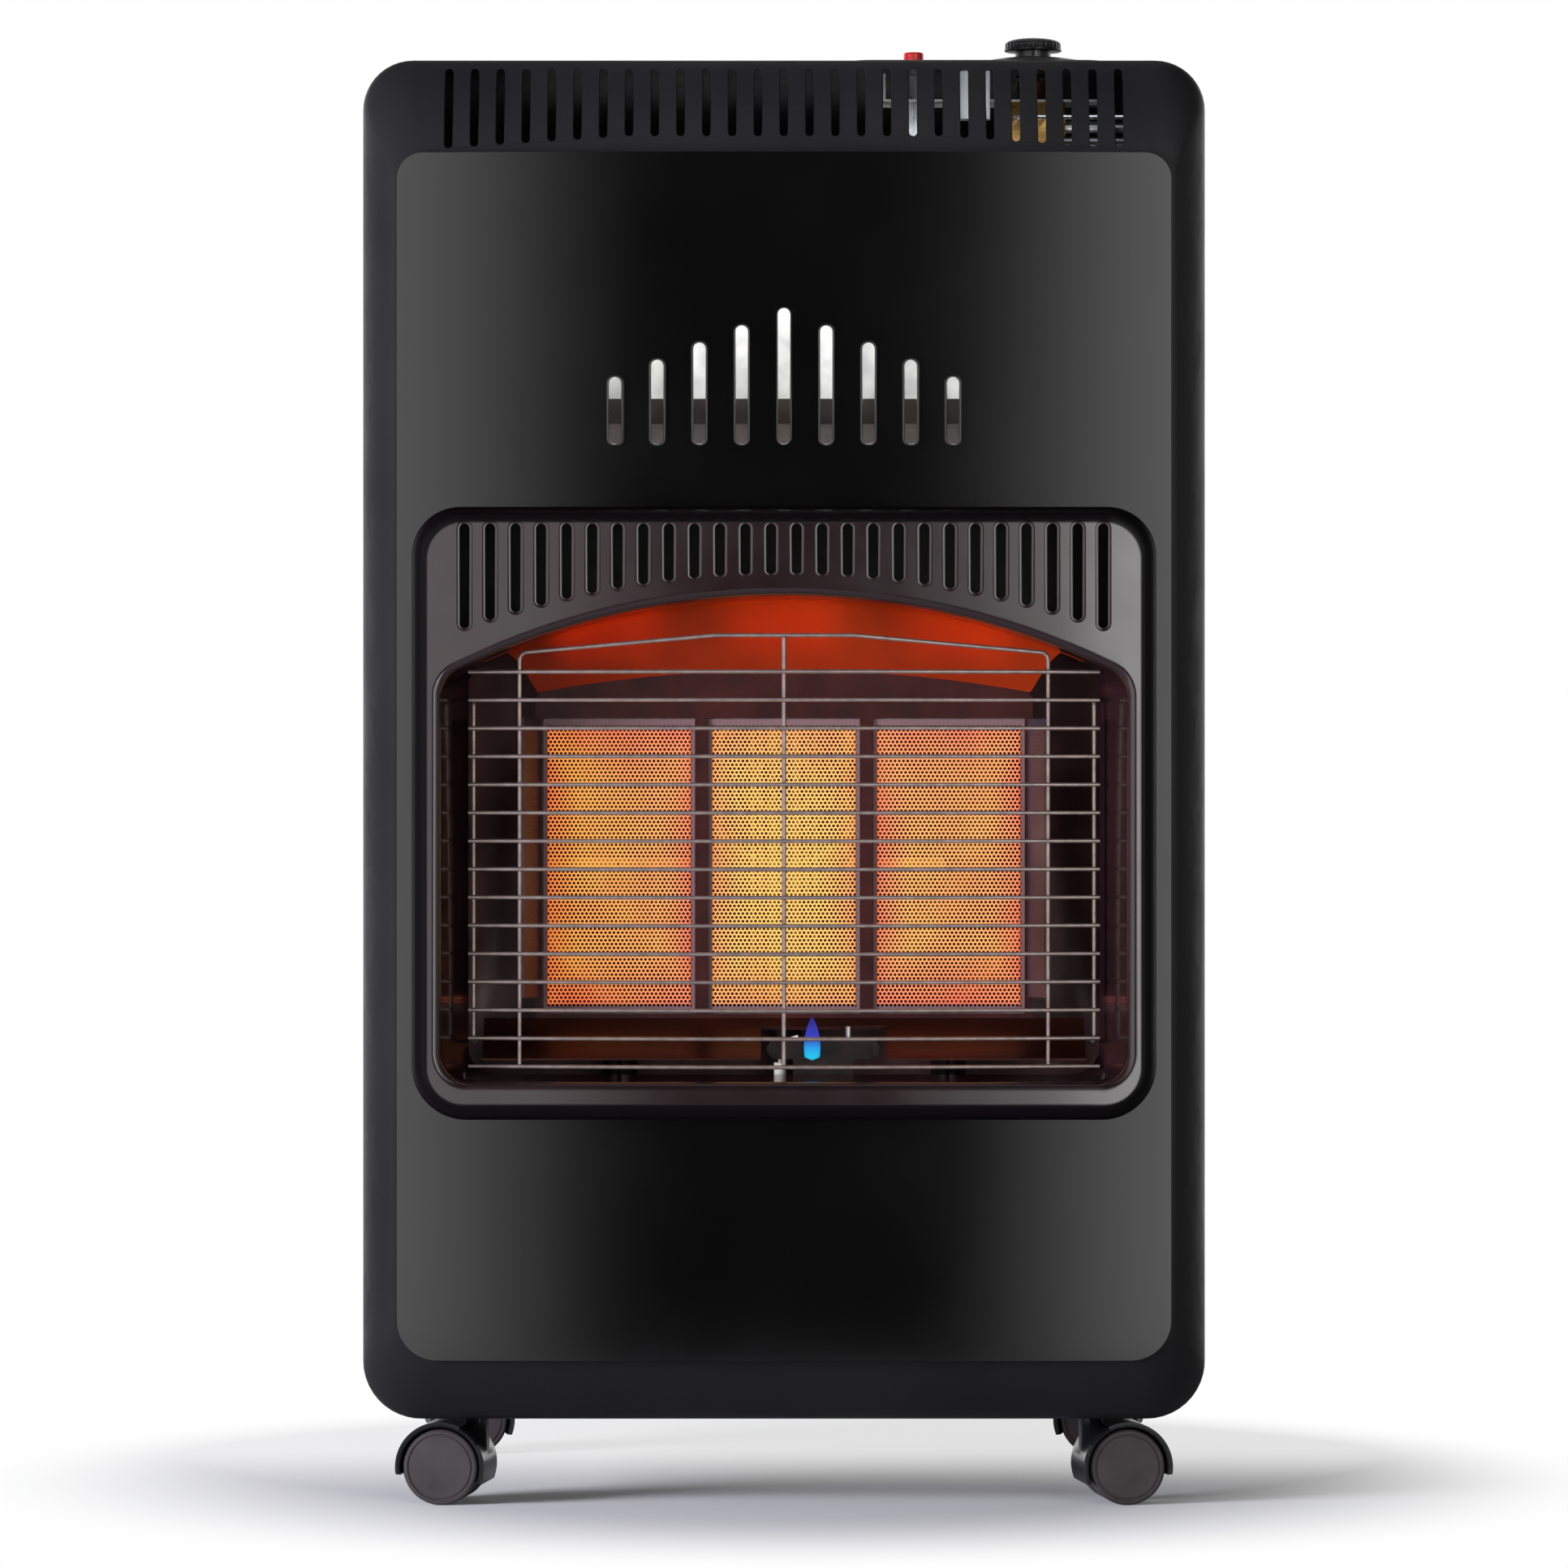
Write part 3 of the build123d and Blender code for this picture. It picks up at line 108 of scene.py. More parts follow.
def between(tree, value, start, end, low=0.0, high=1.0, kind="LINEAR"):
    # low up to where the value is at start, and high from end on
    links = {"Value": value, "From Min": start, "From Max": end, "To Min": low, "To Max": high}
    return add(tree, "ShaderNodeMapRange", links, interpolation_type=kind).outputs[0]


def blend(tree, share, first, second):
    # a colour between two others
    return add(tree, "ShaderNodeMix", {0: share, 6: first, 7: second}, data_type="RGBA").outputs[2]


def ramp(tree, factor, stops):
    # stops are (place, hex colour)
    node = add(tree, "ShaderNodeValToRGB", {"Fac": factor})
    elements = node.color_ramp.elements
    while len(elements) < len(stops):
        elements.new(0.5)
    for element, (place, code) in zip(elements, stops):
        element.position = place
        element.color = linear(code)
    return node.outputs["Color"]


def noise(tree, place, size, detail=2.0, stretch=(1, 1, 1)):
    # size is the real distance between blotches, in millimetres
    mapping = add(tree, "ShaderNodeMapping", {"Vector": place, "Scale": stretch})
    links = {"Vector": mapping.outputs[0], "Scale": 1 / (size * mm), "Detail": detail}
    return add(tree, "ShaderNodeTexNoise", links).outputs["Fac"]


def spread(tree, factor, low, high):
    # squeezes a pattern's 0.3 to 0.7 into low to high
    return between(tree, factor, 0.3, 0.7, low, high)


def bump(tree, height, depth):
    # depth is the real height of the pattern, in millimetres
    links = {"Height": height, "Distance": depth * mm, "Strength": 1.0}
    return add(tree, "ShaderNodeBump", links).outputs["Normal"]


def finish(name, stops, size, roughness, grain=None, stretch=(1, 1, 1), **sockets):
    # a surface with a mottled colour, an uneven gloss and, where it has one, a grain (size, depth) in mm
    material, tree, place = newMaterial(name)
    mottle = noise(tree, place, size, 3.0, stretch)
    links = {
        "Base Color": ramp(tree, mottle, stops),
        "Roughness": spread(tree, noise(tree, place, size * 0.6, 2.0, stretch), *roughness),
    }
    if grain:
        links["Normal"] = bump(tree, noise(tree, place, grain[0], 1.0, stretch), grain[1])
    shader = add(tree, "ShaderNodeBsdfPrincipled", links)
    for key, value in sockets.items():
        shader.inputs[key.replace("_", " ")].default_value = value
    close(tree, shader)
    return material


# finishes, each named for what it is

# polyester powder coat: an even matt black with a fine orange peel that scatters highlights
powderCoat = finish("fine matt powder coat on sheet steel", [(0.3, "#171718"), (0.7, "#1c1b1d")], 60,
                    (0.38, 0.46), grain=(1.6, 0.012), Specular_IOR_Level=0.16)
# stoving enamel: nearly pure black, smooth enough to carry broad soft reflections
panelPaint = finish("satin black stoving paint", [(0.3, "#040404"), (0.7, "#060606")], 90,
                    (0.09, 0.11), Specular_IOR_Level=0.95)

# vitreous enamel: its painted dull black band, standing in for the dark reflection at the rounded outer edge, is
# measured in from the bezel's outline
bezelLow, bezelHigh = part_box("burner_bezel")
bezelEdgeShade = {"halfWidth": bezelHigh.x, "halfHeight": (bezelHigh.z - bezelLow.z) / 2,
              "middle": (bezelHigh.z + bezelLow.z) / 2, "corner": 0.026, "band": 0.0075, "blend": 0.001,
              "shine": 0.12, "roughen": 0.25, "specular": 0.5, "coat": 0.6}


def bezelEnamel():
    # glassy and brown black, fired on; painted dull black where it rounds the outer edge, as shade for the dark
    # reflection there
    material, tree, place = newMaterial("brown black vitreous enamel with painted edge shade")
    split = apart(tree, place)
    edge = bezelEdgeShade
    reaches = []
    for axis, middle, half in (("X", 0.0, edge["halfWidth"]), ("Z", edge["middle"], edge["halfHeight"])):
        away = maths(tree, "ABSOLUTE", maths(tree, "SUBTRACT", split[axis], middle))
        reaches.append(maths(tree, "MAXIMUM", maths(tree, "SUBTRACT", away, half - edge["corner"]), 0.0))
    reach = length(tree, vector(tree, *reaches))
    rimStart = edge["corner"] - edge["band"]
    # the painted shade: a dull black band round the outer edge, darker, rougher and less glossy
    rim = between(tree, reach, rimStart - edge["blend"], rimStart)
    shine = between(tree, rim, 0.0, 1.0, 1.0, edge["shine"])
    glass = ramp(tree, noise(tree, place, 40, 3.0), [(0.3, "#150b0d"), (0.7, "#1c0f11")])
    gloss = spread(tree, noise(tree, place, 24, 2.0), 0.16, 0.24)
    shader = add(tree, "ShaderNodeBsdfPrincipled", {
        "Base Color": blend(tree, rim, glass, linear("#060405")),
        "Roughness": maths(tree, "MULTIPLY_ADD", rim, edge["roughen"], gloss),
        "Specular IOR Level": maths(tree, "MULTIPLY", shine, edge["specular"]),
        "Coat Weight": maths(tree, "MULTIPLY", shine, edge["coat"]),
        "Coat Roughness": 0.05, "Normal": bump(tree, noise(tree, place, 9.0, 1.0), 0.02)})
    close(tree, shader)
    return material


vitreousEnamel = bezelEnamel()
# galvanised sheet: light grey zinc with soft cloudy spangle
spangle = [(0.3, "#9a9a99"), (0.5, "#b2b2b0"), (0.7, "#c4c4c2")]
galvanised = finish("galvanised steel sheet", spangle, 14, (0.42, 0.6), Metallic=0.35)
# heights on the shield: darker below the first, plain from the second to the third, and painted shade from the
# last, where the shield shows through the top slots
shieldDarkBands = {"low": 0.500, "clean": 0.540, "shadeFrom": 0.614, "top": 0.640, "wander": 0.008}


def darkBandedZinc():
    # the same sheet, darker low down, and painted dark high up as shade where it shows through the top slots
    material, tree, place = newMaterial("galvanised steel sheet, sooted low down and high up")
    height = apart(tree, place)["Z"]
    wander = spread(tree, noise(tree, place, 30, 3.0), -shieldDarkBands["wander"], shieldDarkBands["wander"])
    height = maths(tree, "ADD", height, wander)
    risen = between(tree, height, shieldDarkBands["low"], shieldDarkBands["clean"], kind="SMOOTHSTEP")
    # from here up the sheet turns to the dark tone: painted shade over what the lamps light through the top slots
    cool = between(tree, height, shieldDarkBands["shadeFrom"], shieldDarkBands["top"], 1.0, 0.0, "SMOOTHSTEP")
    zinc = ramp(tree, noise(tree, place, 14, 3.0), spangle)
    darkTone = ramp(tree, noise(tree, place, 20, 3.0), [(0.3, "#0e0b0b"), (0.7, "#1c1614")])
    shader = add(tree, "ShaderNodeBsdfPrincipled", {
        "Base Color": blend(tree, maths(tree, "MULTIPLY", risen, cool), darkTone, zinc), "Metallic": 0.3,
        "Roughness": spread(tree, noise(tree, place, 9, 2.0), 0.42, 0.6)})
    close(tree, shader)
    return material


shieldZinc = darkBandedZinc()
# aluminised sheet that heat has browned
heatStained = finish("aluminised sheet, heat stained",
                     [(0.3, "#241a1c"), (0.5, "#312426"), (0.7, "#403032")],
                     40, (0.22, 0.32), Metallic=0.3)
# the chassis round the fire: the same sheet, browner and dull
brownedSheet = finish("aluminised sheet, browned and dull", [(0.3, "#4c2e2e"), (0.7, "#6c4c4a")], 30,
                      (0.4, 0.5), Metallic=0.1)
# burner frame: blackened steel, dull from heat
blackenedSteel = finish("blackened burner steel", [(0.3, "#140d0d"), (0.7, "#231817")], 12,
                        (0.42, 0.6), grain=(1.2, 0.02), Metallic=0.4)
# stainless reflector: a dull mirror, tinted copper by heat; its deep red-orange base colour is also painted glow,
# standing in for the plaques' light it reflects
glowTintedSheet = finish("stainless reflector sheet, straw to copper tinted by heat",
                       [(0.3, "#7a1e04"), (0.7, "#8c2808")], 60, (0.36, 0.44), Metallic=0.2,
                       Specular_IOR_Level=0.15)
# the lower one, browned darker
lowerSheet = finish("stainless reflector sheet, browned by heat", [(0.3, "#2c1410"), (0.7, "#401e16")], 40,
                    (0.28, 0.36), Metallic=0.7)
# the same sheet where it stays cooler: dull, brown mauve
dulledSheet = finish("stainless sheet, dulled brown by heat", [(0.3, "#3c3840"), (0.7, "#5c5660")], 40,
                     (0.25, 0.35), Metallic=0.8)
# burner frame: the same steel turned maroon by the heat beside the plaques
maroonSteel = finish("burner steel, maroon from heat", [(0.3, "#260c0c"), (0.7, "#381412")], 18,
                     (0.45, 0.55), Metallic=0.0, Specular_IOR_Level=0.2)
# nickel plated wire, warm grey, not quite bright
platedWire = finish("nickel plated guard wire", [(0.3, "#8a7c78"), (0.7, "#a4958f")], 5,
                    (0.34, 0.46), Metallic=0.8)
zincSteel = finish("bright zinc plated steel", [(0.3, "#a8a9ab"), (0.7, "#c9cacb")], 6,
                   (0.24, 0.36), Metallic=1.0)
machinedBrass = finish("machined brass", [(0.3, "#a27a45"), (0.7, "#c39a5c")], 8,
                       (0.26, 0.4), grain=(0.9, 0.01), stretch=(1, 1, 5), Metallic=1.0)
drawnTube = finish("drawn aluminium tube", [(0.3, "#9d9fa1"), (0.7, "#b9babc")], 10,
                   (0.3, 0.42), Metallic=1.0)
# moulded parts: PP and ABS with a spark-eroded grain
satinPlastic = finish("satin moulded ABS", [(0.3, "#151516"), (0.7, "#1a1a1b")], 30,
                      (0.34, 0.42), grain=(0.7, 0.012))
glossPlastic = finish("gloss moulded nylon", [(0.3, "#0f0f10"), (0.7, "#141415")], 20,
                      (0.18, 0.26), grain=(4.0, 0.01))
wheelPlastic = finish("matt moulded nylon wheel", [(0.3, "#322e2e"), (0.7, "#3e3939")], 12,
                      (0.46, 0.58), grain=(0.8, 0.02))
redPlastic = finish("red moulded ABS", [(0.3, "#c3151b"), (0.7, "#d11d22")], 8, (0.2, 0.3),
                    grain=(2.0, 0.01))
whitePlastic = finish("white moulded switch housing", [(0.3, "#dcdcde"), (0.7, "#ececee")], 12,
                      (0.35, 0.45), grain=(1.0, 0.01))
siliconeLead = finish("silicone rubber lead", [(0.3, "#17110f"), (0.7, "#241b18")], 6, (0.5, 0.62))
glazedInsulator = finish("glazed white alumina", [(0.3, "#e6e2da"), (0.7, "#f2efe8")], 6, (0.15, 0.22))
ceramicFibre = finish("ceramic fibre strip", [(0.3, "#7c6462"), (0.7, "#a48b86")], 4,
                      (0.8, 0.95), grain=(0.5, 0.1))
printWhite = finish("white pad printing", [(0.3, "#cfcfcf"), (0.7, "#dddddd")], 5, (0.45, 0.55))

# the plaques' pitch and half sizes, and how the glow falls to their rims; the outer two burn cooler
plaqueGlow = {"pitch": 0.0825, "halfWidth": 0.038, "middle": 0.320, "halfHeight": 0.0735, "sideCool": 0.42,
              "patches": 0.12, "fallStart": 0.55, "fallEnd": 0.99, "fall": 0.55, "lit": 0.93, "unlit": 0.955}


def glowingCeramic(name, bright, edge, strength, base):
    # cordierite plaque at about 900 degrees: yellow in the middle, redder to the rim, unlit at the very edge
    material, tree, place = newMaterial(name)
    split = apart(tree, place)
    plaque = plaqueGlow
    # distance from the nearest plaque's middle, as a share of half its width or height
    turn = maths(tree, "DIVIDE", split["X"], plaque["pitch"])
    number = maths(tree, "ROUND", turn)
    part = maths(tree, "SUBTRACT", turn, number)
    across = maths(tree, "ABSOLUTE", maths(tree, "MULTIPLY", part, plaque["pitch"] / plaque["halfWidth"]))
    up = maths(tree, "SUBTRACT", split["Z"], plaque["middle"])
    up = maths(tree, "ABSOLUTE", maths(tree, "MULTIPLY", up, 1 / plaque["halfHeight"]))
    rim = maths(tree, "MAXIMUM", across, up)
    patches = spread(tree, noise(tree, place, 26, 2.0), -plaque["patches"], plaque["patches"])
    cool = maths(tree, "MULTIPLY_ADD", maths(tree, "ABSOLUTE", number), plaque["sideCool"], patches)
    fall = between(tree, rim, plaque["fallStart"], plaque["fallEnd"], 0.0, plaque["fall"])
    cooled = maths(tree, "ADD", cool, fall, use_clamp=True)
    shader = add(tree, "ShaderNodeBsdfPrincipled", {
        "Base Color": linear(base), "Roughness": 0.9,
        "Emission Color": blend(tree, cooled, linear(bright), linear(edge)),
        "Emission Strength": between(tree, rim, plaque["lit"], plaque["unlit"], strength, 0.0)})
    close(tree, shader)
    return material


plaqueFace = glowingCeramic("cordierite plaque, glowing", "#ffc844", "#ea6220", 1.0, "#6f5657")
plaqueHole = glowingCeramic("cordierite plaque, inside its holes", "#8c2408", "#5c120c", 0.6, "#2a1a1b")
plaqueBack = glowingCeramic("cordierite plaque, floors of its holes", "#4c1208", "#2c080c", 0.5, "#140c0d")

flame = {"foot": 0.2235, "tip": 0.2505, "x": 0.014, "y": -0.1715, "radius": 0.0042, "rings": 16,
         "swellStart": 0.28, "swellRise": 0.9, "swellPower": 0.7}


def pilotFlame():
    # premixed flame: a cyan cone under a violet mantle that thins out upwards
    material, tree, place = newMaterial("blue pilot flame")
    height = apart(tree, place)["Z"]
    rise = between(tree, height, flame["foot"], flame["tip"])
    colour = ramp(tree, rise, [(0.0, "#27d3f2"), (0.22, "#2fa8ee"), (0.4, "#3d48c8"), (1.0, "#3a2a7c")])
    glow = add(tree, "ShaderNodeEmission", {"Color": colour, "Strength": 1.0})
    clear = add(tree, "ShaderNodeBsdfTransparent", {"Color": (1, 1, 1, 1)})
    rim = add(tree, "ShaderNodeLayerWeight", {"Blend": 0.35}).outputs["Facing"]
    thin = between(tree, rise, 0.3, 1.0, 0.1, 0.85)
    amount = maths(tree, "MAXIMUM", rim, thin, use_clamp=True)
    shader = add(tree, "ShaderNodeMixShader", {0: amount, 1: glow.outputs[0], 2: clear.outputs[0]})
    close(tree, shader)
    return material


flameGas = pilotFlame()
print("stage: finishes made")

# CAD nodes, smoothed: each is copied, merged, shaded smooth by angle and stands for its node

nodeFinish = {
    "front_surround": powderCoat, "front_panel": panelPaint, "side_panel_left": powderCoat,
    "side_panel_right": powderCoat, "top_cover": powderCoat, "base_plate": powderCoat,
    "rear_cover": powderCoat, "heat_shield": shieldZinc, "heat_deflector": blackenedSteel,
    "cover_studs": zincSteel, "burner_bezel": vitreousEnamel, "wire_guard": platedWire,
    "burner_chassis": brownedSheet, "burner_frame": maroonSteel, "reflector_upper": glowTintedSheet,
    "reflector_lower": lowerSheet, "reflector_left": dulledSheet, "reflector_right": dulledSheet,
    "burner_box_left": heatStained, "burner_box_centre": heatStained, "burner_box_right": heatStained,
    "plaque_gaskets": ceramicFibre, "injector_rail": galvanised, "pilot_bracket": blackenedSteel,
    "pilot_burner": machinedBrass, "thermocouple": zincSteel, "spark_electrode": glazedInsulator,
    "gas_tubes": drawnTube, "pilot_tube": drawnTube, "ignition_lead": siliconeLead,
    "gas_valve": machinedBrass, "valve_bracket": galvanised, "valve_spindle": zincSteel,
    "gas_inlet": machinedBrass, "control_plate": satinPlastic, "piezo_igniter": zincSteel,
    "ignition_button": redPlastic, "tilt_switch": whitePlastic, "castor_sockets": glossPlastic,
}
castorPlaces = ("front_left", "front_right", "rear_left", "rear_right")
for castor in castorPlaces:
    nodeFinish["castor_hood_" + castor] = glossPlastic
    nodeFinish["castor_pins_" + castor] = zincSteel

recordSlot = {entry["node"]: entry["material_slot"] for entry in frame["record"]["subparts"]}
bodyOfNode = {}
for body, members in frame["record"]["behaviour"]["bodies"].items():
    for member in members:
        bodyOfNode[member] = body


def newPiece(name, mesh):
    piece = bpy.data.objects.new(name, mesh)
    bpy.context.scene.collection.objects.link(piece)
    return piece


def pieceFrom(work, name, material):
    # a piece of its own from a finished bmesh
    mesh = bpy.data.meshes.new(name)
    work.to_mesh(mesh)
    work.free()
    mesh.materials.append(material)
    return newPiece(name, mesh)


def settle(piece, body, node=None, slotName=None):
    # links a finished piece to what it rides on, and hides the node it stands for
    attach(piece, body)
    if node:
        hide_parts(node)
    slotName or recordSlot[node]


def smoothMesh(mesh, angle):
    for polygon in mesh.polygons:
        polygon.use_smooth = True
    mesh.set_sharp_from_angle(angle=math.radians(angle))


def dress(node, material, reshape=None, tilt=None):
    # reshape moves points and tilt turns normals, where a node has them
    mesh = frame["nodes"][node].data.copy()
    work = bmesh.new()
    work.from_mesh(mesh)
    bmesh.ops.remove_doubles(work, verts=work.verts, dist=0.004 * mm)
    bmesh.ops.dissolve_degenerate(work, edges=work.edges, dist=0.001 * mm)
    if reshape:
        for vertex in work.verts:
            vertex.co = reshape(vertex.co)
    work.to_mesh(mesh)
    work.free()
    smoothMesh(mesh, 32)
    mesh.materials.clear()
    mesh.materials.append(material)
    piece = newPiece(node + "_skin", mesh)
    weighted = piece.modifiers.new("weighted", "WEIGHTED_NORMAL")
    weighted.keep_sharp = True
    evaluated = piece.evaluated_get(bpy.context.evaluated_depsgraph_get())
    piece.data = bpy.data.meshes.new_from_object(evaluated)
    piece.modifiers.clear()
    if tilt:
        corners = [normal.vector.copy() for normal in piece.data.corner_normals]
        for face in piece.data.polygons:
            for loop in face.loop_indices:
                place = piece.data.vertices[piece.data.loops[loop].vertex_index].co
                corners[loop] = tilt(place, corners[loop], face.normal)
        piece.data.normals_split_custom_set(corners)
    settle(piece, bodyOfNode[node], node)


panelBow = {"depth": 0.006, "half": 0.192, "facing": 0.985}
bezelBow = {"depth": 0.011, "half": 0.184}
bezelSlots = {"Count": 26, "Pitch": 0.0126, "Width": 0.0060, "High": 0.490, "Low": 0.464,
              "Step": 0.0, "Even": 0, "HighStep": 0.0, "Arc": 0.477,
              "Face": -0.2000, "Bow": 0.0, "Lip": 0.0034, "Depth": 0.0008, "Reach": 0.0010}
# where the bezel's slots are looked for, and how far off its outline a point of a cut edge may lie
slotSearch = {"lowest": 0.43, "slack": 1.04}


def arcRadius(half, rise):
    # radius of an arc that rises this far over a chord of this half width
    return (half ** 2 + rise ** 2) / (2 * rise)


def bowTilt(bow):
    # turns normals that face forward as if the sheet were part of a cylinder bowed by this depth
    radius = arcRadius(bow["half"], bow["depth"])

    def tilt(place, normal, facing):
        return (normal + Vector((place.x / radius * abs(normal.y), 0, 0))).normalized()
    return tilt


def panelTilt(place, normal, facing):
    # the panel is bowed in the CAD too: the normals of its front and back follow from x alone
    turn = place.x / arcRadius(panelBow["half"], panelBow["depth"])
    bow = Vector((turn, -math.sqrt(1 - turn ** 2), 0))
    share = facing.dot(bow)
    if abs(share) <= panelBow["facing"]:
        return normal
    return bow if share > 0 else -bow


def openSlots(place):
    # sets the cut edges of the bezel's slots back by the reach of their rims, which roll in from there
    number = round(place.x / bezelSlots["Pitch"] + (bezelSlots["Count"] - 1) / 2)
    if not 0 <= number < bezelSlots["Count"] or place.z < slotSearch["lowest"]:
        return place
    radius = bezelSlots["Width"] / 2
    x = (number - (bezelSlots["Count"] - 1) / 2) * bezelSlots["Pitch"]
    low = bezelSlots["Low"] + math.sqrt(bezelSlots["Arc"] ** 2 - x * x) - bezelSlots["Arc"] + radius
    z = min(max(place.z, low), bezelSlots["High"] - radius)
    away = Vector((place.x - x, 0, place.z - z))
    if away.length > radius * slotSearch["slack"]:
        return place
    return Vector((x, place.y, z)) + away.normalized() * (radius + bezelSlots["Reach"])


for node, material in nodeFinish.items():
    if node == "front_panel":
        dress(node, material, tilt=panelTilt)
    elif node == "burner_bezel":
        dress(node, material, reshape=openSlots, tilt=bowTilt(bezelBow))
    else:
        dress(node, material)
print("stage: CAD nodes dressed", len(nodeFinish))

# Geometry Nodes helpers


def newTree(name, sizes):
    # a modifier tree with a float input for each size, in metres unless it is a count or a share
    tree = bpy.data.node_groups.new(name, "GeometryNodeTree")
    tree.interface.new_socket("Geometry", in_out="INPUT", socket_type="NodeSocketGeometry")
    for key, value in sizes.items():
        kind = "NodeSocketInt" if isinstance(value, int) else "NodeSocketFloat"
        socket = tree.interface.new_socket(key, in_out="INPUT", socket_type=kind)
        socket.default_value = value
    tree.interface.new_socket("Geometry", in_out="OUTPUT", socket_type="NodeSocketGeometry")
    entry = add(tree, "NodeGroupInput")
    return tree, entry.outputs


def closeTree(tree, geometry, material):
    # real meshes with their finish, as the export needs
    real = shape(tree, "RealizeInstances", {"Geometry": geometry})
    add(tree, "NodeGroupOutput", {0: shape(tree, "SetMaterial", {"Geometry": real, "Material": material})})


def join(tree, *parts):
    node = add(tree, "GeometryNodeJoinGeometry")
    for part in parts:
        tree.links.new(part, node.inputs[0])
    return node.outputs[0]


def grow(name, tree, sizes):
    # runs a tree on an empty mesh and keeps the result as a plain mesh object
    host = newPiece(name + "_host", bpy.data.meshes.new(name + "_seed"))
    modifier = host.modifiers.new("grow", "NODES")
    modifier.node_group = tree
    for item in tree.interface.items_tree:
        if item.item_type == "SOCKET" and item.in_out == "INPUT" and item.name in sizes:
            modifier[item.identifier] = sizes[item.name]
    evaluated = host.evaluated_get(bpy.context.evaluated_depsgraph_get())
    mesh = bpy.data.meshes.new_from_object(evaluated)
    mesh.name = name
    bpy.data.objects.remove(host)
    return newPiece(name, mesh)


def facesOutward(piece):
    work = bmesh.new()
    work.from_mesh(piece.data)
    bmesh.ops.remove_doubles(work, verts=work.verts, dist=0.002 * mm)
    bmesh.ops.recalc_face_normals(work, faces=work.faces)
    work.to_mesh(piece.data)
    work.free()


# rolled lips inside the slots: each is an oval swept round a stadium

slotRows = {
    "surround_slot_lips": {
        "material": powderCoat, "body": "root", "slot": "surround_paint",
        "sizes": {"Count": 27, "Pitch": 0.0128, "Width": 0.0048, "High": 0.7175, "Low": 0.682,
                  "Step": -0.00087, "Even": 6, "HighStep": 0.0, "Arc": 0.0,
                  "Face": -0.1800, "Bow": 0.0, "Lip": 0.0008, "Depth": 0.0030, "Reach": 0.0},
    },
    "panel_slot_lips": {
        "material": panelPaint, "body": "root", "slot": "panel_paint",
        "sizes": {"Count": 9, "Pitch": 0.0209, "Width": 0.0074, "High": 0.597, "Low": 0.5285,
                  "Step": 0.0, "Even": 0, "HighStep": -0.0085, "Arc": 0.0,
                  "Face": -0.1900, "Bow": 0.1638, "Lip": 0.0014, "Depth": 0.0024, "Reach": 0.0},
    },
    "bezel_slot_lips": {
        "material": vitreousEnamel, "body": "root", "slot": "bezel_enamel",
        "sizes": bezelSlots,
    },
}


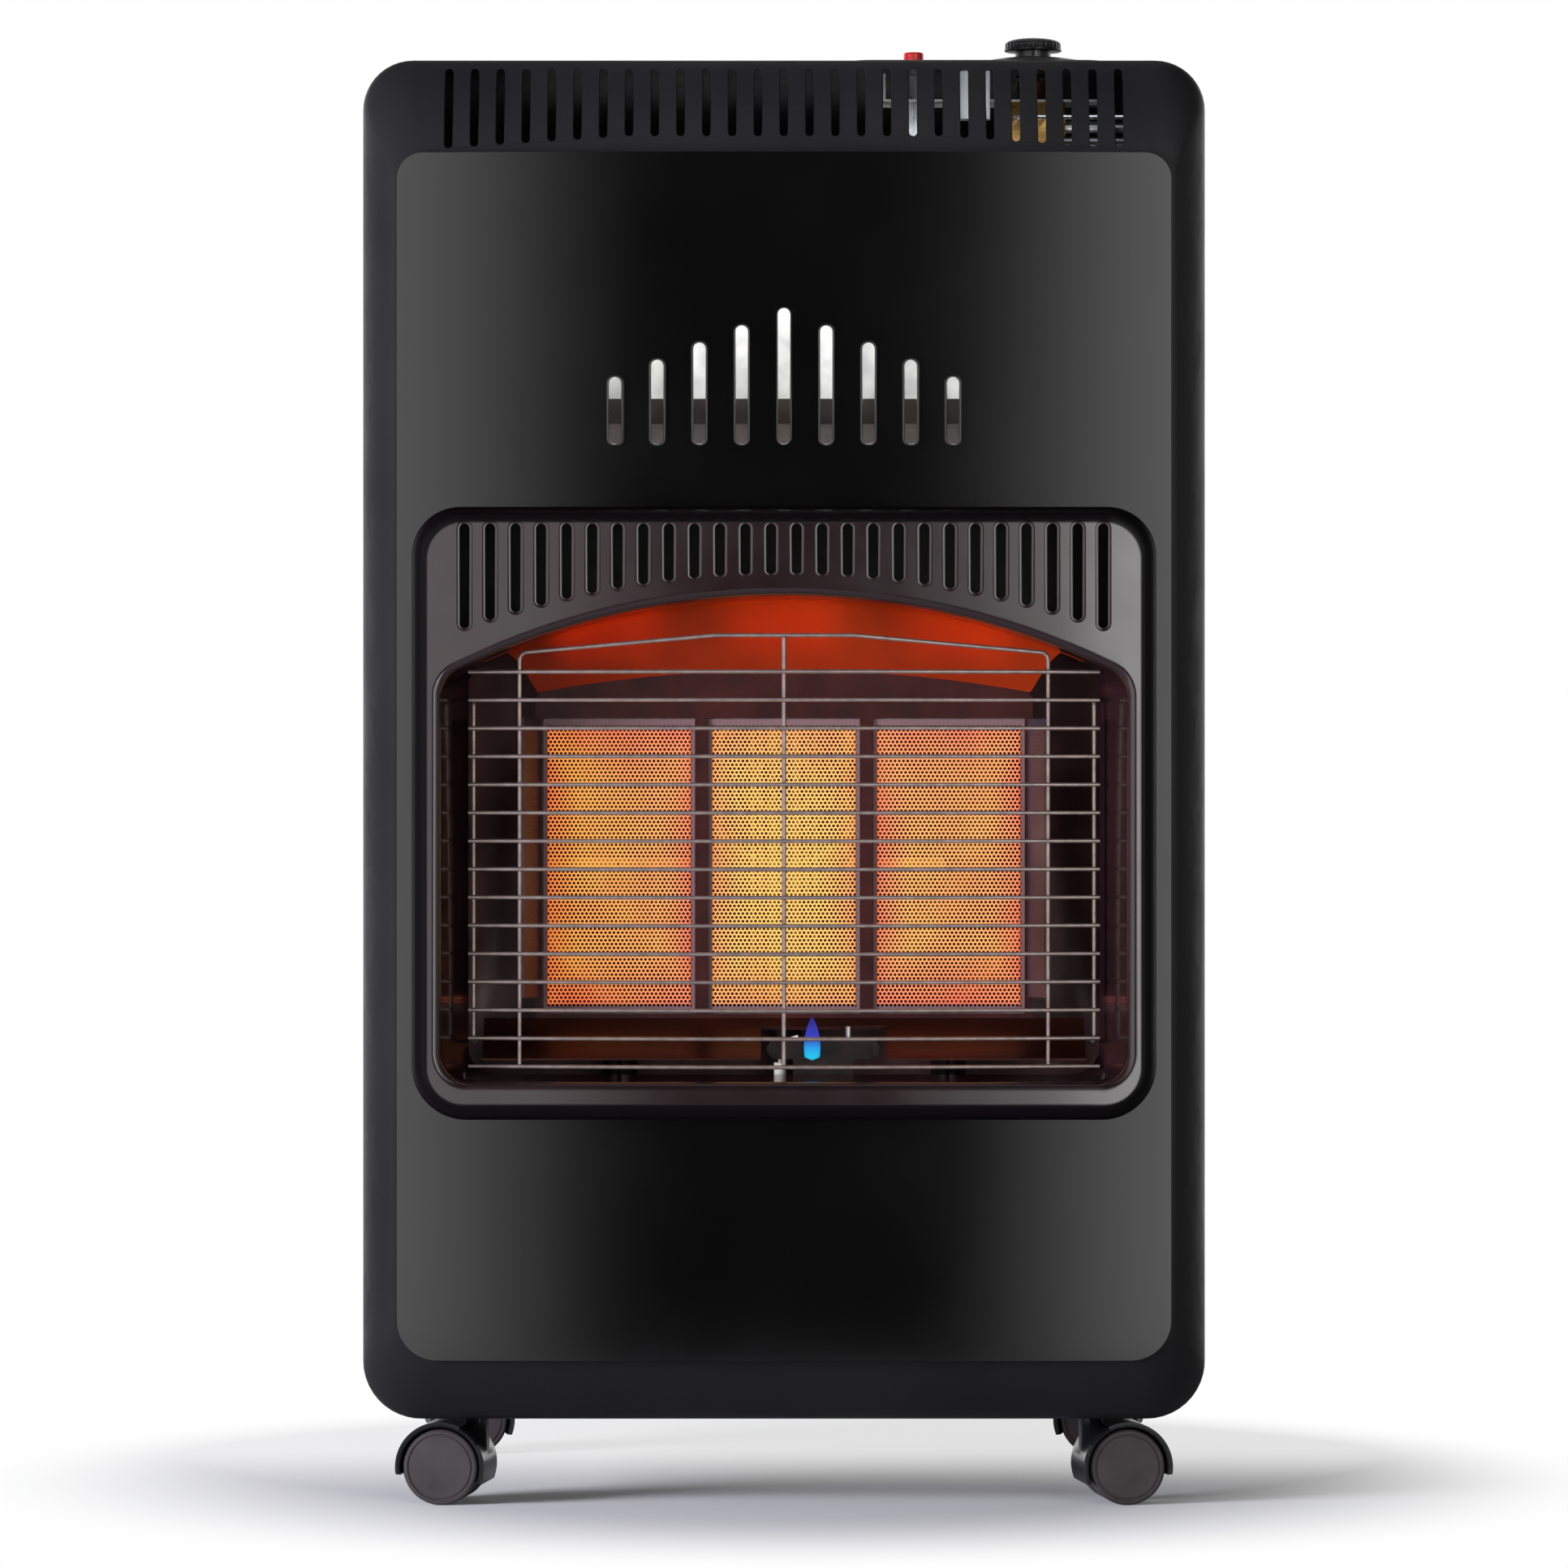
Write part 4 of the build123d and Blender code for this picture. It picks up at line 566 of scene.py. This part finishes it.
def slotLipTree(name, sizes, material):
    tree, size = newTree(name, sizes)
    middle = maths(tree, "MULTIPLY", maths(tree, "SUBTRACT", size["Count"], 1.0), 0.5)
    place = maths(tree, "SUBTRACT", shape(tree, "InputIndex"), middle)
    x = maths(tree, "MULTIPLY", place, size["Pitch"])
    squareX = maths(tree, "MULTIPLY", x, x)
    away = maths(tree, "ABSOLUTE", place)
    beyond = maths(tree, "MAXIMUM", maths(tree, "SUBTRACT", away, size["Even"]), 0.0)
    # the lower ends follow an arc where Arc isn't 0, and step down past the even ones
    squareArc = maths(tree, "MULTIPLY", size["Arc"], size["Arc"])
    root = maths(tree, "SQRT", maths(tree, "MAXIMUM", maths(tree, "SUBTRACT", squareArc, squareX), 0.0))
    hasArc = maths(tree, "GREATER_THAN", size["Arc"], 0.0)
    drop = maths(tree, "MULTIPLY", maths(tree, "SUBTRACT", root, size["Arc"]), hasArc)
    steps = maths(tree, "MULTIPLY", beyond, size["Step"])
    low = maths(tree, "ADD", maths(tree, "ADD", size["Low"], drop), steps)
    high = maths(tree, "ADD", size["High"], maths(tree, "MULTIPLY", away, size["HighStep"]))
    radius = maths(tree, "MULTIPLY", size["Width"], 0.5)
    around = maths(tree, "ADD", radius, size["Reach"])
    half = maths(tree, "SUBTRACT", maths(tree, "MULTIPLY", maths(tree, "SUBTRACT", high, low), 0.5), radius)
    centre = maths(tree, "MULTIPLY", maths(tree, "ADD", high, low), 0.5)
    back = maths(tree, "MULTIPLY", size["Bow"], squareX)
    row = shape(tree, "MeshLine", {"Count": size["Count"], "Offset": (0, 0, 0)})
    moved = shape(tree, "SetPosition", {"Geometry": row, "Position": vector(tree, x, centre, back)})
    halved = shape(tree, "StoreNamedAttribute", {"Geometry": moved, "Name": "half", "Value": half},
                   domain="POINT")
    # each ring's points know which end they belong to, and are drawn apart to a stadium
    ring = shape(tree, "CurvePrimitiveCircle", {"Resolution": 24, "Radius": around})
    pointY = apart(tree, shape(tree, "InputPosition"))["Y"]
    sign = maths(tree, "SIGN", maths(tree, "ADD", pointY, 0.01 * mm))
    signed = shape(tree, "StoreNamedAttribute", {"Geometry": ring, "Name": "end", "Value": sign},
                   domain="POINT")
    copies = shape(tree, "InstanceOnPoints", {"Points": halved, "Instance": signed})
    real = shape(tree, "RealizeInstances", {"Geometry": copies})
    ends, halves = (shape(tree, "InputNamedAttribute", {"Name": key}) for key in ("end", "half"))
    stretch = vector(tree, 0.0, maths(tree, "MULTIPLY", ends, halves))
    stadiums = shape(tree, "SetPosition", {"Geometry": real, "Offset": stretch})
    # the lip's section: as wide as Lip and as deep as Depth
    section = shape(tree, "CurvePrimitiveCircle", {"Resolution": 16, "Radius": 1.0})
    halfDepth = maths(tree, "MULTIPLY", size["Depth"], 0.5)
    thin = vector(tree, maths(tree, "MULTIPLY", size["Lip"], 0.5), halfDepth, 1.0)
    oval = shape(tree, "Transform", {"Geometry": section, "Scale": thin})
    upright = shape(tree, "SetCurveNormal", {"Curve": stadiums}, mode="Z_UP")
    strip = shape(tree, "CurveToMesh", {"Curve": upright, "Profile Curve": oval})
    smooth = shape(tree, "SetShadeSmooth", {"Geometry": strip})
    # stands the row up: its Y becomes Z, and its Z becomes depth behind the face
    turned = shape(tree, "Transform", {"Geometry": smooth, "Rotation": (math.radians(90), 0, 0)})
    depth = vector(tree, 0.0, maths(tree, "ADD", size["Face"], halfDepth))
    closeTree(tree, shape(tree, "Transform", {"Geometry": turned, "Translation": depth}), material)
    return tree


def followSlope(piece, node, face, beside):
    # slides each point in or out, so that the row follows the sheet's slope, read on a bar between two slots
    sheet = frame["nodes"][node].data
    surface = BVHTree.FromPolygons([vertex.co for vertex in sheet.vertices],
                                   [polygon.vertices for polygon in sheet.polygons])
    for vertex in piece.data.vertices:
        place = surface.ray_cast(Vector((beside, -1, vertex.co.z)), Vector((0, 1, 0)))[0]
        if place:
            vertex.co.y += place.y - face


for name, row in slotRows.items():
    tree = slotLipTree(name, row["sizes"], row["material"])
    lips = grow(name, tree, row["sizes"])
    if name == "surround_slot_lips":
        followSlope(lips, "front_surround", row["sizes"]["Face"], row["sizes"]["Pitch"] / 2)
    facesOutward(lips)
    settle(lips, row["body"], slotName=row["slot"])
print("stage: slot lips grown")

# ceramic plaques: a face pierced by rows of small holes over a glowing body

plaqueSizes = {"Across": 34, "Up": 74, "PitchX": 0.00211, "PitchZ": 0.00191, "Hole": 0.00079,
               "Pit": 0.0022, "Face": -0.147}
plaqueCentres = {"left": -0.0825, "centre": 0.0, "right": 0.0825}


def plaqueTree():
    tree, size = newTree("plaque_holes", {**plaqueSizes, "CentreX": 0.0})
    # one cell: a square of the face with a round hole, made as a ring of eight faces and its pit
    outer = shape(tree, "MeshCircle", {"Vertices": 8, "Radius": 1.0})
    position = apart(tree, shape(tree, "InputPosition"))
    corner, rim = [], []
    for axis, pitch in (("X", "PitchX"), ("Y", "PitchZ")):
        side = maths(tree, "SIGN", maths(tree, "ROUND", maths(tree, "MULTIPLY", position[axis], 2.0)))
        corner.append(maths(tree, "MULTIPLY", side, maths(tree, "MULTIPLY", size[pitch], 0.5)))
        rim.append(maths(tree, "MULTIPLY", position[axis], size["Hole"]))
    held = shape(tree, "StoreNamedAttribute",
                 {"Geometry": outer, "Name": "square", "Value": vector(tree, *corner)},
                 data_type="FLOAT_VECTOR", domain="POINT")
    small = shape(tree, "SetPosition", {"Geometry": held, "Position": vector(tree, *rim)})
    # the ring's outer edge is pushed out to a square that fills the pitch
    ring = add(tree, "GeometryNodeExtrudeMesh", {"Mesh": small, "Offset": (0, 0, 0), "Offset Scale": 0.0},
               mode="EDGES").outputs
    square = shape(tree, "InputNamedAttribute", {"Name": "square"}, data_type="FLOAT_VECTOR")
    face = shape(tree, "SetPosition", {"Geometry": ring["Mesh"], "Selection": ring["Top"],
                                       "Position": square})
    down = vector(tree, 0.0, 0.0, maths(tree, "MULTIPLY", size["Pit"], -1.0))
    wall = shape(tree, "ExtrudeMesh", {"Mesh": small, "Offset": down, "Offset Scale": 1.0}, mode="EDGES")
    disc = shape(tree, "MeshCircle", {"Vertices": 8, "Radius": size["Hole"]}, fill_type="NGON")
    floor = shape(tree, "Transform", {"Geometry": disc, "Translation": down})
    painted = [shape(tree, "SetMaterial", {"Geometry": part, "Material": material})
               for part, material in ((floor, plaqueBack), (wall, plaqueHole), (face, plaqueFace))]
    # the cells' places: every second row is shifted by half a pitch
    wide = maths(tree, "MULTIPLY", maths(tree, "SUBTRACT", size["Across"], 1.0), size["PitchX"])
    tall = maths(tree, "MULTIPLY", maths(tree, "SUBTRACT", size["Up"], 1.0), size["PitchZ"])
    grid = shape(tree, "MeshGrid", {"Size X": wide, "Size Y": tall, "Vertices X": size["Across"],
                                    "Vertices Y": size["Up"]})
    rowNumber = maths(tree, "MODULO", shape(tree, "InputIndex"), size["Up"])
    odd = maths(tree, "SUBTRACT", maths(tree, "MODULO", rowNumber, 2.0), 0.5)
    shift = vector(tree, maths(tree, "MULTIPLY", odd, maths(tree, "MULTIPLY", size["PitchX"], 0.5)))
    staggered = shape(tree, "SetPosition", {"Geometry": grid, "Offset": shift})
    copies = shape(tree, "InstanceOnPoints", {"Points": staggered, "Instance": join(tree, *painted)})
    upright = shape(tree, "Transform", {"Geometry": copies, "Rotation": (math.radians(90), 0, 0)})
    spot = vector(tree, size["CentreX"], size["Face"], plaqueGlow["middle"])
    there = shape(tree, "Transform", {"Geometry": upright, "Translation": spot})
    add(tree, "NodeGroupOutput", {0: shape(tree, "RealizeInstances", {"Geometry": there})})
    return tree


def frameCorners(left, right, low, high):
    return [(left, low), (right, low), (right, high), (left, high)]


def plaqueBody(name, centre):
    # the block behind the pierced face, with a plain margin round the holes
    low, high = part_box("ceramic_plaque_" + name)
    reachX = plaqueSizes["PitchX"] * (plaqueSizes["Across"] / 2 + 0.25)
    reachZ = plaqueSizes["PitchZ"] * plaqueSizes["Up"] / 2
    middle = plaqueGlow["middle"]
    outer = frameCorners(low.x, high.x, low.z, high.z)
    inner = frameCorners(centre - reachX, centre + reachX, middle - reachZ, middle + reachZ)
    pit = low.y + plaqueSizes["Pit"]
    work = bmesh.new()
    rings = []
    for corners, y in ((outer, high.y), (outer, low.y), (inner, low.y), (inner, pit)):
        rings.append([work.verts.new((x, y, z)) for x, z in corners])
    work.faces.new(rings[0])
    for first, second in zip(rings, rings[1:]):
        for i in range(4):
            j = (i + 1) % 4
            work.faces.new((first[i], first[j], second[j], second[i]))
    work.faces.new(rings[3])
    bmesh.ops.recalc_face_normals(work, faces=work.faces)
    return pieceFrom(work, "plaque_body_" + name, plaqueFace)


holesTree = plaqueTree()
for name, centre in plaqueCentres.items():
    pierced = grow("glowing_plaque_" + name, holesTree, {**plaqueSizes, "CentreX": centre})
    body = plaqueBody(name, centre)
    settle(pierced, "root", "ceramic_plaque_" + name)
    settle(body, "root", slotName="glowing_ceramic")
print("stage: plaques pierced", len(pierced.data.polygons))

# turned pieces: a profile of (radius, height) points spun about an axis


def spin(name, profile, steps, material, smoothAngle, wave=None):
    # wave, if given, is a function of radius, height and turn that adds to the radius
    work = bmesh.new()
    rings = []
    for radius, height in profile:
        if radius == 0:
            rings.append([work.verts.new((0, 0, height))])
            continue
        ring = []
        for step in range(steps):
            turn = 2 * math.pi * step / steps
            reach = radius + (wave(radius, height, turn) if wave else 0)
            ring.append(work.verts.new((reach * math.cos(turn), reach * math.sin(turn), height)))
        rings.append(ring)
    for first, second in zip(rings, rings[1:]):
        for i in range(steps):
            j = (i + 1) % steps
            if len(first) == 1:
                work.faces.new((first[0], second[j], second[i]))
            elif len(second) == 1:
                work.faces.new((first[i], first[j], second[0]))
            else:
                work.faces.new((first[i], first[j], second[j], second[i]))
    bmesh.ops.recalc_face_normals(work, faces=work.faces)
    piece = pieceFrom(work, name, material)
    smoothMesh(piece.data, smoothAngle)
    return piece


def arcPoints(centreR, centreH, radius, start, end, steps):
    points = []
    for step in range(steps + 1):
        angle = math.radians(start + (end - start) * step / steps)
        points.append((centreR + radius * math.cos(angle), centreH + radius * math.sin(angle)))
    return points


# control knob: a ribbed crown over a plain skirt, on a hub

knob = {"x": 0.126, "y": -0.1085, "radius": 0.0145, "hub": 0.009, "hubLength": 0.0054, "skirt": 0.0009,
        "edge": 0.0003, "crownFoot": 0.0034, "crownPower": 0.75, "crownRings": 12,
        "ribs": 30, "ribDepth": 0.00035, "ribEnd": 0.72, "bore": 0.00356, "roof": 0.0028}


def makeKnob():
    low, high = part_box("control_knob")
    radius, edge = knob["radius"], knob["edge"]
    crownRadius = radius - knob["ribDepth"]
    boreTop = high.z - knob["roof"]
    skirtLow = low.z + knob["hubLength"]
    skirtHigh = skirtLow + knob["skirt"]
    crownFoot = skirtLow + knob["crownFoot"]
    profile = [(0, boreTop), (knob["bore"], boreTop), (knob["bore"], low.z), (knob["hub"], low.z),
               (knob["hub"], skirtLow), (radius - edge, skirtLow), (radius, skirtLow + edge),
               (radius, skirtHigh), (crownRadius, skirtHigh + edge)]
    for step in range(knob["crownRings"]):
        angle = math.radians(90 * step / knob["crownRings"])
        profile.append((crownRadius * math.cos(angle) ** knob["crownPower"],
                        crownFoot + (high.z - crownFoot) * math.sin(angle)))
    profile.append((0, high.z))

    def ribs(reach, height, turn):
        if height < skirtHigh + edge / 2 or reach < radius * knob["ribEnd"]:
            return 0
        return -knob["ribDepth"] * (1 - abs(math.cos(turn * knob["ribs"] / 2)))

    piece = spin("ribbed_knob", profile, knob["ribs"] * 8, glossPlastic, 60, ribs)
    piece.data.transform(Matrix.Translation((knob["x"], knob["y"], 0)))
    return piece


settle(makeKnob(), "control_knob", "control_knob")

# dial under the knob: a shallow dome on the control plate, sunk into it a little at its foot

dial = {"radius": 0.033, "rise": 0.0044, "hole": 0.0096, "rings": 16, "segments": 96, "sink": 0.0001}
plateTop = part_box("control_plate")[1].z


def dialHeight(away):
    # height of the dome over the control plate, this far from the knob's axis
    sphere = arcRadius(dial["radius"], dial["rise"])
    return dial["rise"] - sphere + math.sqrt(sphere ** 2 - away ** 2)


def makeDial():
    foot = plateTop - dial["sink"]
    profile = [(dial["hole"], foot)]
    for step in range(dial["rings"] + 1):
        away = dial["hole"] + (dial["radius"] - dial["hole"]) * step / dial["rings"]
        profile.append((away, plateTop + dialHeight(away)))
    profile += [(dial["radius"], foot), (dial["hole"], foot)]
    piece = spin("knob_dial", profile, dial["segments"], satinPlastic, 30)
    facesOutward(piece)
    smoothMesh(piece.data, 30)
    piece.data.transform(Matrix.Translation((knob["x"], knob["y"], 0)))
    return piece


settle(makeDial(), "root", slotName=recordSlot["control_plate"])
print("stage: knob turned")

# castor wheels: a capped disc with a rolled rim and a rounded tread

wheel = {"radius": 0.019, "edge": 0.0016, "cap": 0.0158, "capEdge": 0.0003, "capDrop": 0.0001,
         "groove": 0.0006, "grooveEnd": 0.0009, "segments": 72}


def wheelPlace(castor):
    # the wheels' axle and middle, from the frame's joint
    for joint in frame["joints"]:
        if joint["name"] == "castor_wheel_" + castor + "_a_spin":
            return Vector(joint["pos_m"]), Vector(joint["axis"])


def makeWheel(node, castor):
    centre, axle = wheelPlace(castor)
    depths = [(vertex.co - centre).dot(axle) for vertex in frame["nodes"][node].data.vertices]
    inner, outer = min(depths, key=abs), max(depths, key=abs)
    side = 1 if outer > 0 else -1
    width = abs(outer) - abs(inner)
    radius, edge, cap = wheel["radius"], wheel["edge"], wheel["cap"]
    capHeight = width - wheel["capDrop"]
    floor = width - wheel["groove"]
    profile = [(0, 0), (radius - edge, 0)]
    profile += arcPoints(radius - edge, edge, edge, -90, 0, 5)
    profile += arcPoints(radius - edge, width - edge, edge, 0, 90, 5)
    profile += [(cap + wheel["grooveEnd"], width), (cap + wheel["groove"], floor), (cap, floor),
                (cap - wheel["capEdge"], capHeight), (0, capHeight)]
    piece = spin(node.replace("castor_", ""), profile, wheel["segments"], wheelPlastic, 30)
    turn = Vector((0, 0, 1)).rotation_difference(axle * side).to_matrix().to_4x4()
    turn.translation = centre + axle * inner
    piece.data.transform(turn)
    return piece


for castor in castorPlaces:
    for letter in "ab":
        node = "castor_wheel_" + castor + "_" + letter
        settle(makeWheel(node, castor), node, node)
print("stage: wheels made")

# cabinet screws: pan heads with a cross recess, along both sides

screwSizes = {"HeadRadius": 0.0036, "HeadRise": 0.0015, "Recess": 0.0011, "ArmWidth": 0.0009,
              "ArmReach": 1.15, "Skin": 0.2083, "FirstY": -0.095, "SecondY": 0.040, "ThirdY": 0.145,
              "LowZ": 0.084, "HighZ": 0.686}


def screwTree():
    tree, size = newTree("cabinet_screw_rows", screwSizes)
    dome = shape(tree, "MeshUVSphere", {"Segments": 24, "Rings": 12, "Radius": 1.0})
    flat = vector(tree, size["HeadRise"], size["HeadRadius"], size["HeadRadius"])
    head = shape(tree, "Transform", {"Geometry": dome, "Scale": flat})
    arm = vector(tree, maths(tree, "MULTIPLY", size["Recess"], 2.0), size["ArmWidth"],
                 maths(tree, "MULTIPLY", size["HeadRadius"], size["ArmReach"]))
    bar = shape(tree, "MeshCube", {"Size": arm})
    crossed = shape(tree, "Transform", {"Geometry": bar, "Rotation": (math.radians(90), 0, 0)})
    cutter = shape(tree, "Transform", {"Geometry": join(tree, bar, crossed),
                                       "Translation": vector(tree, size["HeadRise"])})
    # the exact solver gives nothing here
    screw = shape(tree, "MeshBoolean", {0: head, 1: cutter}, operation="DIFFERENCE", solver="MANIFOLD")
    points = []
    for y in ("FirstY", "SecondY", "ThirdY"):
        for z in ("LowZ", "HighZ"):
            spot = vector(tree, size["Skin"], size[y], size[z])
            points.append(shape(tree, "Points", {"Count": 1, "Position": spot}))
    right = shape(tree, "InstanceOnPoints", {"Points": join(tree, *points), "Instance": screw})
    left = shape(tree, "Transform", {"Geometry": right, "Rotation": (0, 0, math.radians(180))})
    # half a turn mirrors the left row's depths, and the slide brings its first and last to the right row's
    slide = vector(tree, 0.0, maths(tree, "ADD", size["FirstY"], size["ThirdY"]))
    back = shape(tree, "Transform", {"Geometry": left, "Translation": slide})
    closeTree(tree, join(tree, right, back), powderCoat)
    return tree


screws = grow("cross_recess_screws", screwTree(), screwSizes)
smoothMesh(screws.data, 40)
settle(screws, "root", "cabinet_screws")
print("stage: screws set")

# pilot flame: a slim drop that draws in to a point


def makeFlame():
    height = flame["tip"] - flame["foot"]
    profile = [(0, 0)]
    for step in range(1, flame["rings"]):
        share = step / flame["rings"]
        swell = math.sin(math.pi * min(share * flame["swellRise"] + flame["swellStart"], 1.0))
        profile.append((flame["radius"] * swell ** flame["swellPower"], height * share))
    profile.append((0, height))
    piece = spin("pilot_flame", profile, 24, flameGas, 180)
    piece.data.transform(Matrix.Translation((flame["x"], flame["y"], flame["foot"])))
    return piece


settle(makeFlame(), "root", slotName="glowing_ceramic")
print("stage: flame lit")

# dial marks: four flat dots that grow round the knob, printed white

dialMarks = {"reach": 0.0235, "first": 200, "step": 70, "sizes": (0.0007, 0.0010, 0.0013, 0.0016),
             "proud": 0.00008, "points": 20}


def makeDialMarks():
    work = bmesh.new()
    for number, radius in enumerate(dialMarks["sizes"]):
        angle = math.radians(dialMarks["first"] - dialMarks["step"] * number)
        centreX, centreY = dialMarks["reach"] * math.cos(angle), dialMarks["reach"] * math.sin(angle)
        ring = []
        for step in range(dialMarks["points"]):
            turn = 2 * math.pi * step / dialMarks["points"]
            x, y = centreX + radius * math.cos(turn), centreY + radius * math.sin(turn)
            height = plateTop + dialHeight(math.hypot(x, y)) + dialMarks["proud"]
            ring.append(work.verts.new((knob["x"] + x, knob["y"] + y, height)))
        work.faces.new(ring)
    return pieceFrom(work, "dial_marks", printWhite)


settle(makeDialMarks(), "root", slotName="switch_white")
print("stage: dial marked")

# studio: pale floor, white surroundings, soft lamps, and the camera

studio = {"floorRadius": 1.05, "floorSides": 96, "floorSeen": "#f4f4f4", "floorShadedInReflections": "#c0c0c0",
          "shadowStart": 0.20, "shadowEnd": 0.44, "backStart": -0.13, "backEnd": 0.16, "underLightShare": 0.7,
          "sideLight": 0.3, "backLight": 1.3, "aheadStart": -0.7, "aheadEnd": -0.3,
          "behindStart": 0.25, "behindEnd": 0.6, "ceilingStart": 0.15, "ceilingEnd": 0.55,
          "ceilingLight": 0.2}
# the front wall's brightness, by how far to the right a ray points
frontLight = [(-1.0, 0.0), (-0.95, 0.0), (-0.88, 1.4), (-0.21, 1.3), (-0.07, 0.0),
              (0.07, 0.0), (0.20, 1.25), (0.26, 4.5), (0.33, 4.5), (0.42, 1.5), (0.66, 1.4),
              (0.76, 0.25), (1.0, 0.25)]


def makeFloor():
    # a disc that ends where it has turned as white as the backdrop
    turns = [2 * math.pi * step / studio["floorSides"] for step in range(studio["floorSides"])]
    radius = studio["floorRadius"]
    rim = [(radius * math.cos(turn), radius * math.sin(turn), 0) for turn in turns]
    mesh = bpy.data.meshes.new("floor")
    mesh.from_pydata(rim, [], [list(range(len(rim)))])
    floor = newPiece("floor", mesh)
    material, tree, place = newMaterial("white studio floor")
    # the heater's own reflections, and the light the floor throws back, see a darker floor: painted shade that
    # keeps the bright floor out of the heater's reflections
    seen = add(tree, "ShaderNodeLightPath").outputs["Is Camera Ray"]
    shade = blend(tree, seen, linear(studio["floorShadedInReflections"]), linear(studio["floorSeen"]))
    matt = add(tree, "ShaderNodeBsdfDiffuse", {"Color": shade, "Roughness": 0.0})
    # away from the heater the floor runs into the white backdrop
    white = add(tree, "ShaderNodeEmission", {"Color": (1, 1, 1, 1), "Strength": 1.0})
    reach = length(tree, place)
    fade = between(tree, reach, studio["shadowStart"], studio["shadowEnd"], kind="SMOOTHSTEP")
    # and, though less, behind the castors: painted light over the real shadow under the cabinet
    depth = apart(tree, place)["Y"]
    # painted light: lifts the shadow under and behind the cabinet towards white
    behind = between(tree, depth, studio["backStart"], studio["backEnd"], 0.0, studio["underLightShare"],
                     "SMOOTHSTEP")
    amount = maths(tree, "MULTIPLY", maths(tree, "MAXIMUM", fade, behind), seen)
    shader = add(tree, "ShaderNodeMixShader", {0: amount, 1: matt.outputs[0], 2: white.outputs[0]})
    close(tree, shader)
    mesh.materials.append(material)


def makeWorld():
    world = bpy.data.worlds.new("studio")
    bpy.context.scene.world = world
    world.use_nodes = True
    tree = world.node_tree
    tree.nodes.clear()
    ray = add(tree, "ShaderNodeLightPath")
    seen = maths(tree, "MAXIMUM", ray.outputs["Is Camera Ray"], ray.outputs["Is Transmission Ray"])
    # light walls, brightest beside a dark gap behind the camera that leaves the panel's middle black
    way = apart(tree, add(tree, "ShaderNodeTexCoord").outputs["Generated"])
    level = frontLight[0][1]
    for (start, low), (end, high) in zip(frontLight, frontLight[1:]):
        rise = between(tree, way["X"], start, end, 0.0, high - low, "SMOOTHSTEP")
        level = maths(tree, "ADD", level, rise)
    ahead = between(tree, way["Y"], studio["aheadStart"], studio["aheadEnd"], 1.0, 0.0)
    rear = between(tree, way["Y"], studio["behindStart"], studio["behindEnd"],
                   studio["sideLight"], studio["backLight"])
    around = add(tree, "ShaderNodeMix", {"Factor": ahead, "A": rear, "B": level}).outputs[0]
    # the studio's ceiling is dark
    below = between(tree, way["Z"], studio["ceilingStart"], studio["ceilingEnd"],
                    1.0, studio["ceilingLight"])
    light = maths(tree, "MULTIPLY", around, below)
    room = add(tree, "ShaderNodeBackground", {"Color": (1, 1, 1, 1), "Strength": light})
    backdrop = add(tree, "ShaderNodeBackground", {"Color": (1, 1, 1, 1), "Strength": 1.0})
    both = add(tree, "ShaderNodeMixShader", {0: seen, 1: room.outputs[0], 2: backdrop.outputs[0]})
    add(tree, "ShaderNodeOutputWorld", {"Surface": both.outputs[0]})


lamps = {
    # place, target, width, height, power, colour, spread in degrees
    "top_softbox": ((0.1, 0.1, 2.4), (0, 0.1, 0.3), 1.4, 1.0, 2, "#ffffff", 180),
    "left_softbox": ((-2.2, -1.3, 0.3), (-0.2, -0.16, 0.4), 0.9, 1.6, 180, "#f0f0ff", 180),
    # inside, between the slotted panel and the shield
    "cabinet_fill": ((0.0, -0.165, 0.65), (0, -0.108, 0.60), 0.30, 0.02, 0.7, "#ffffff", 180),
    "controls_fill": ((0.11, -0.168, 0.70), (0.11, -0.12, 0.705), 0.18, 0.012, 0.014, "#f4f6ff", 180),
    # what each plaque throws up and down at the reflectors
    "left_glow_up": ((-0.0875, -0.168, 0.390), (-0.0875, -0.158, 0.45), 0.048, 0.012, 0.0050, "#ff7a20", 34),
    "middle_glow_up": ((0, -0.168, 0.390), (0, -0.158, 0.45), 0.052, 0.012, 0.0064, "#ff7a20", 34),
    "right_glow_up": ((0.0875, -0.168, 0.390), (0.0875, -0.158, 0.45), 0.048, 0.012, 0.0050, "#ff7a20", 34),
    "glow_down": ((0, -0.184, 0.255), (0, -0.176, 0.22), 0.22, 0.004, 0.012, "#ff4a0c", 50),
}


def makeLamp(name, place, target, width, height, power, colour, spreadAngle):
    data = bpy.data.lights.new(name, "AREA")
    data.shape = "RECTANGLE"
    data.size = width
    data.size_y = height
    data.energy = power
    data.color = linear(colour)[:3]
    data.spread = math.radians(spreadAngle)
    lamp = bpy.data.objects.new(name, data)
    lamp.visible_camera = False
    # the plaques' own glow and the left softbox don't show as reflections
    lamp.visible_glossy = "glow" not in name and "left" not in name
    lamp.location = place
    lamp.rotation_euler = (Vector(target) - Vector(place)).to_track_quat("-Z", "Y").to_euler()
    bpy.context.scene.collection.objects.link(lamp)


cameraSetup = {"distance": 3.5, "outlineY": -0.158, "height": 0.361, "frameWidth": 0.7825, "sensor": 36}


def makeCamera():
    data = bpy.data.cameras.new("camera")
    data.sensor_width = cameraSetup["sensor"]
    data.lens = cameraSetup["sensor"] * cameraSetup["distance"] / cameraSetup["frameWidth"]
    data.dof.use_dof = False
    camera = bpy.data.objects.new("camera", data)
    camera.location = (0, cameraSetup["outlineY"] - cameraSetup["distance"], cameraSetup["height"])
    camera.rotation_euler = (math.radians(90), 0, 0)
    bpy.context.scene.collection.objects.link(camera)
    bpy.context.scene.camera = camera


makeFloor()
makeWorld()
for name, values in lamps.items():
    makeLamp(name, *values)
makeCamera()
bpy.context.scene.view_settings.view_transform = "Standard"
print("stage: studio lit")
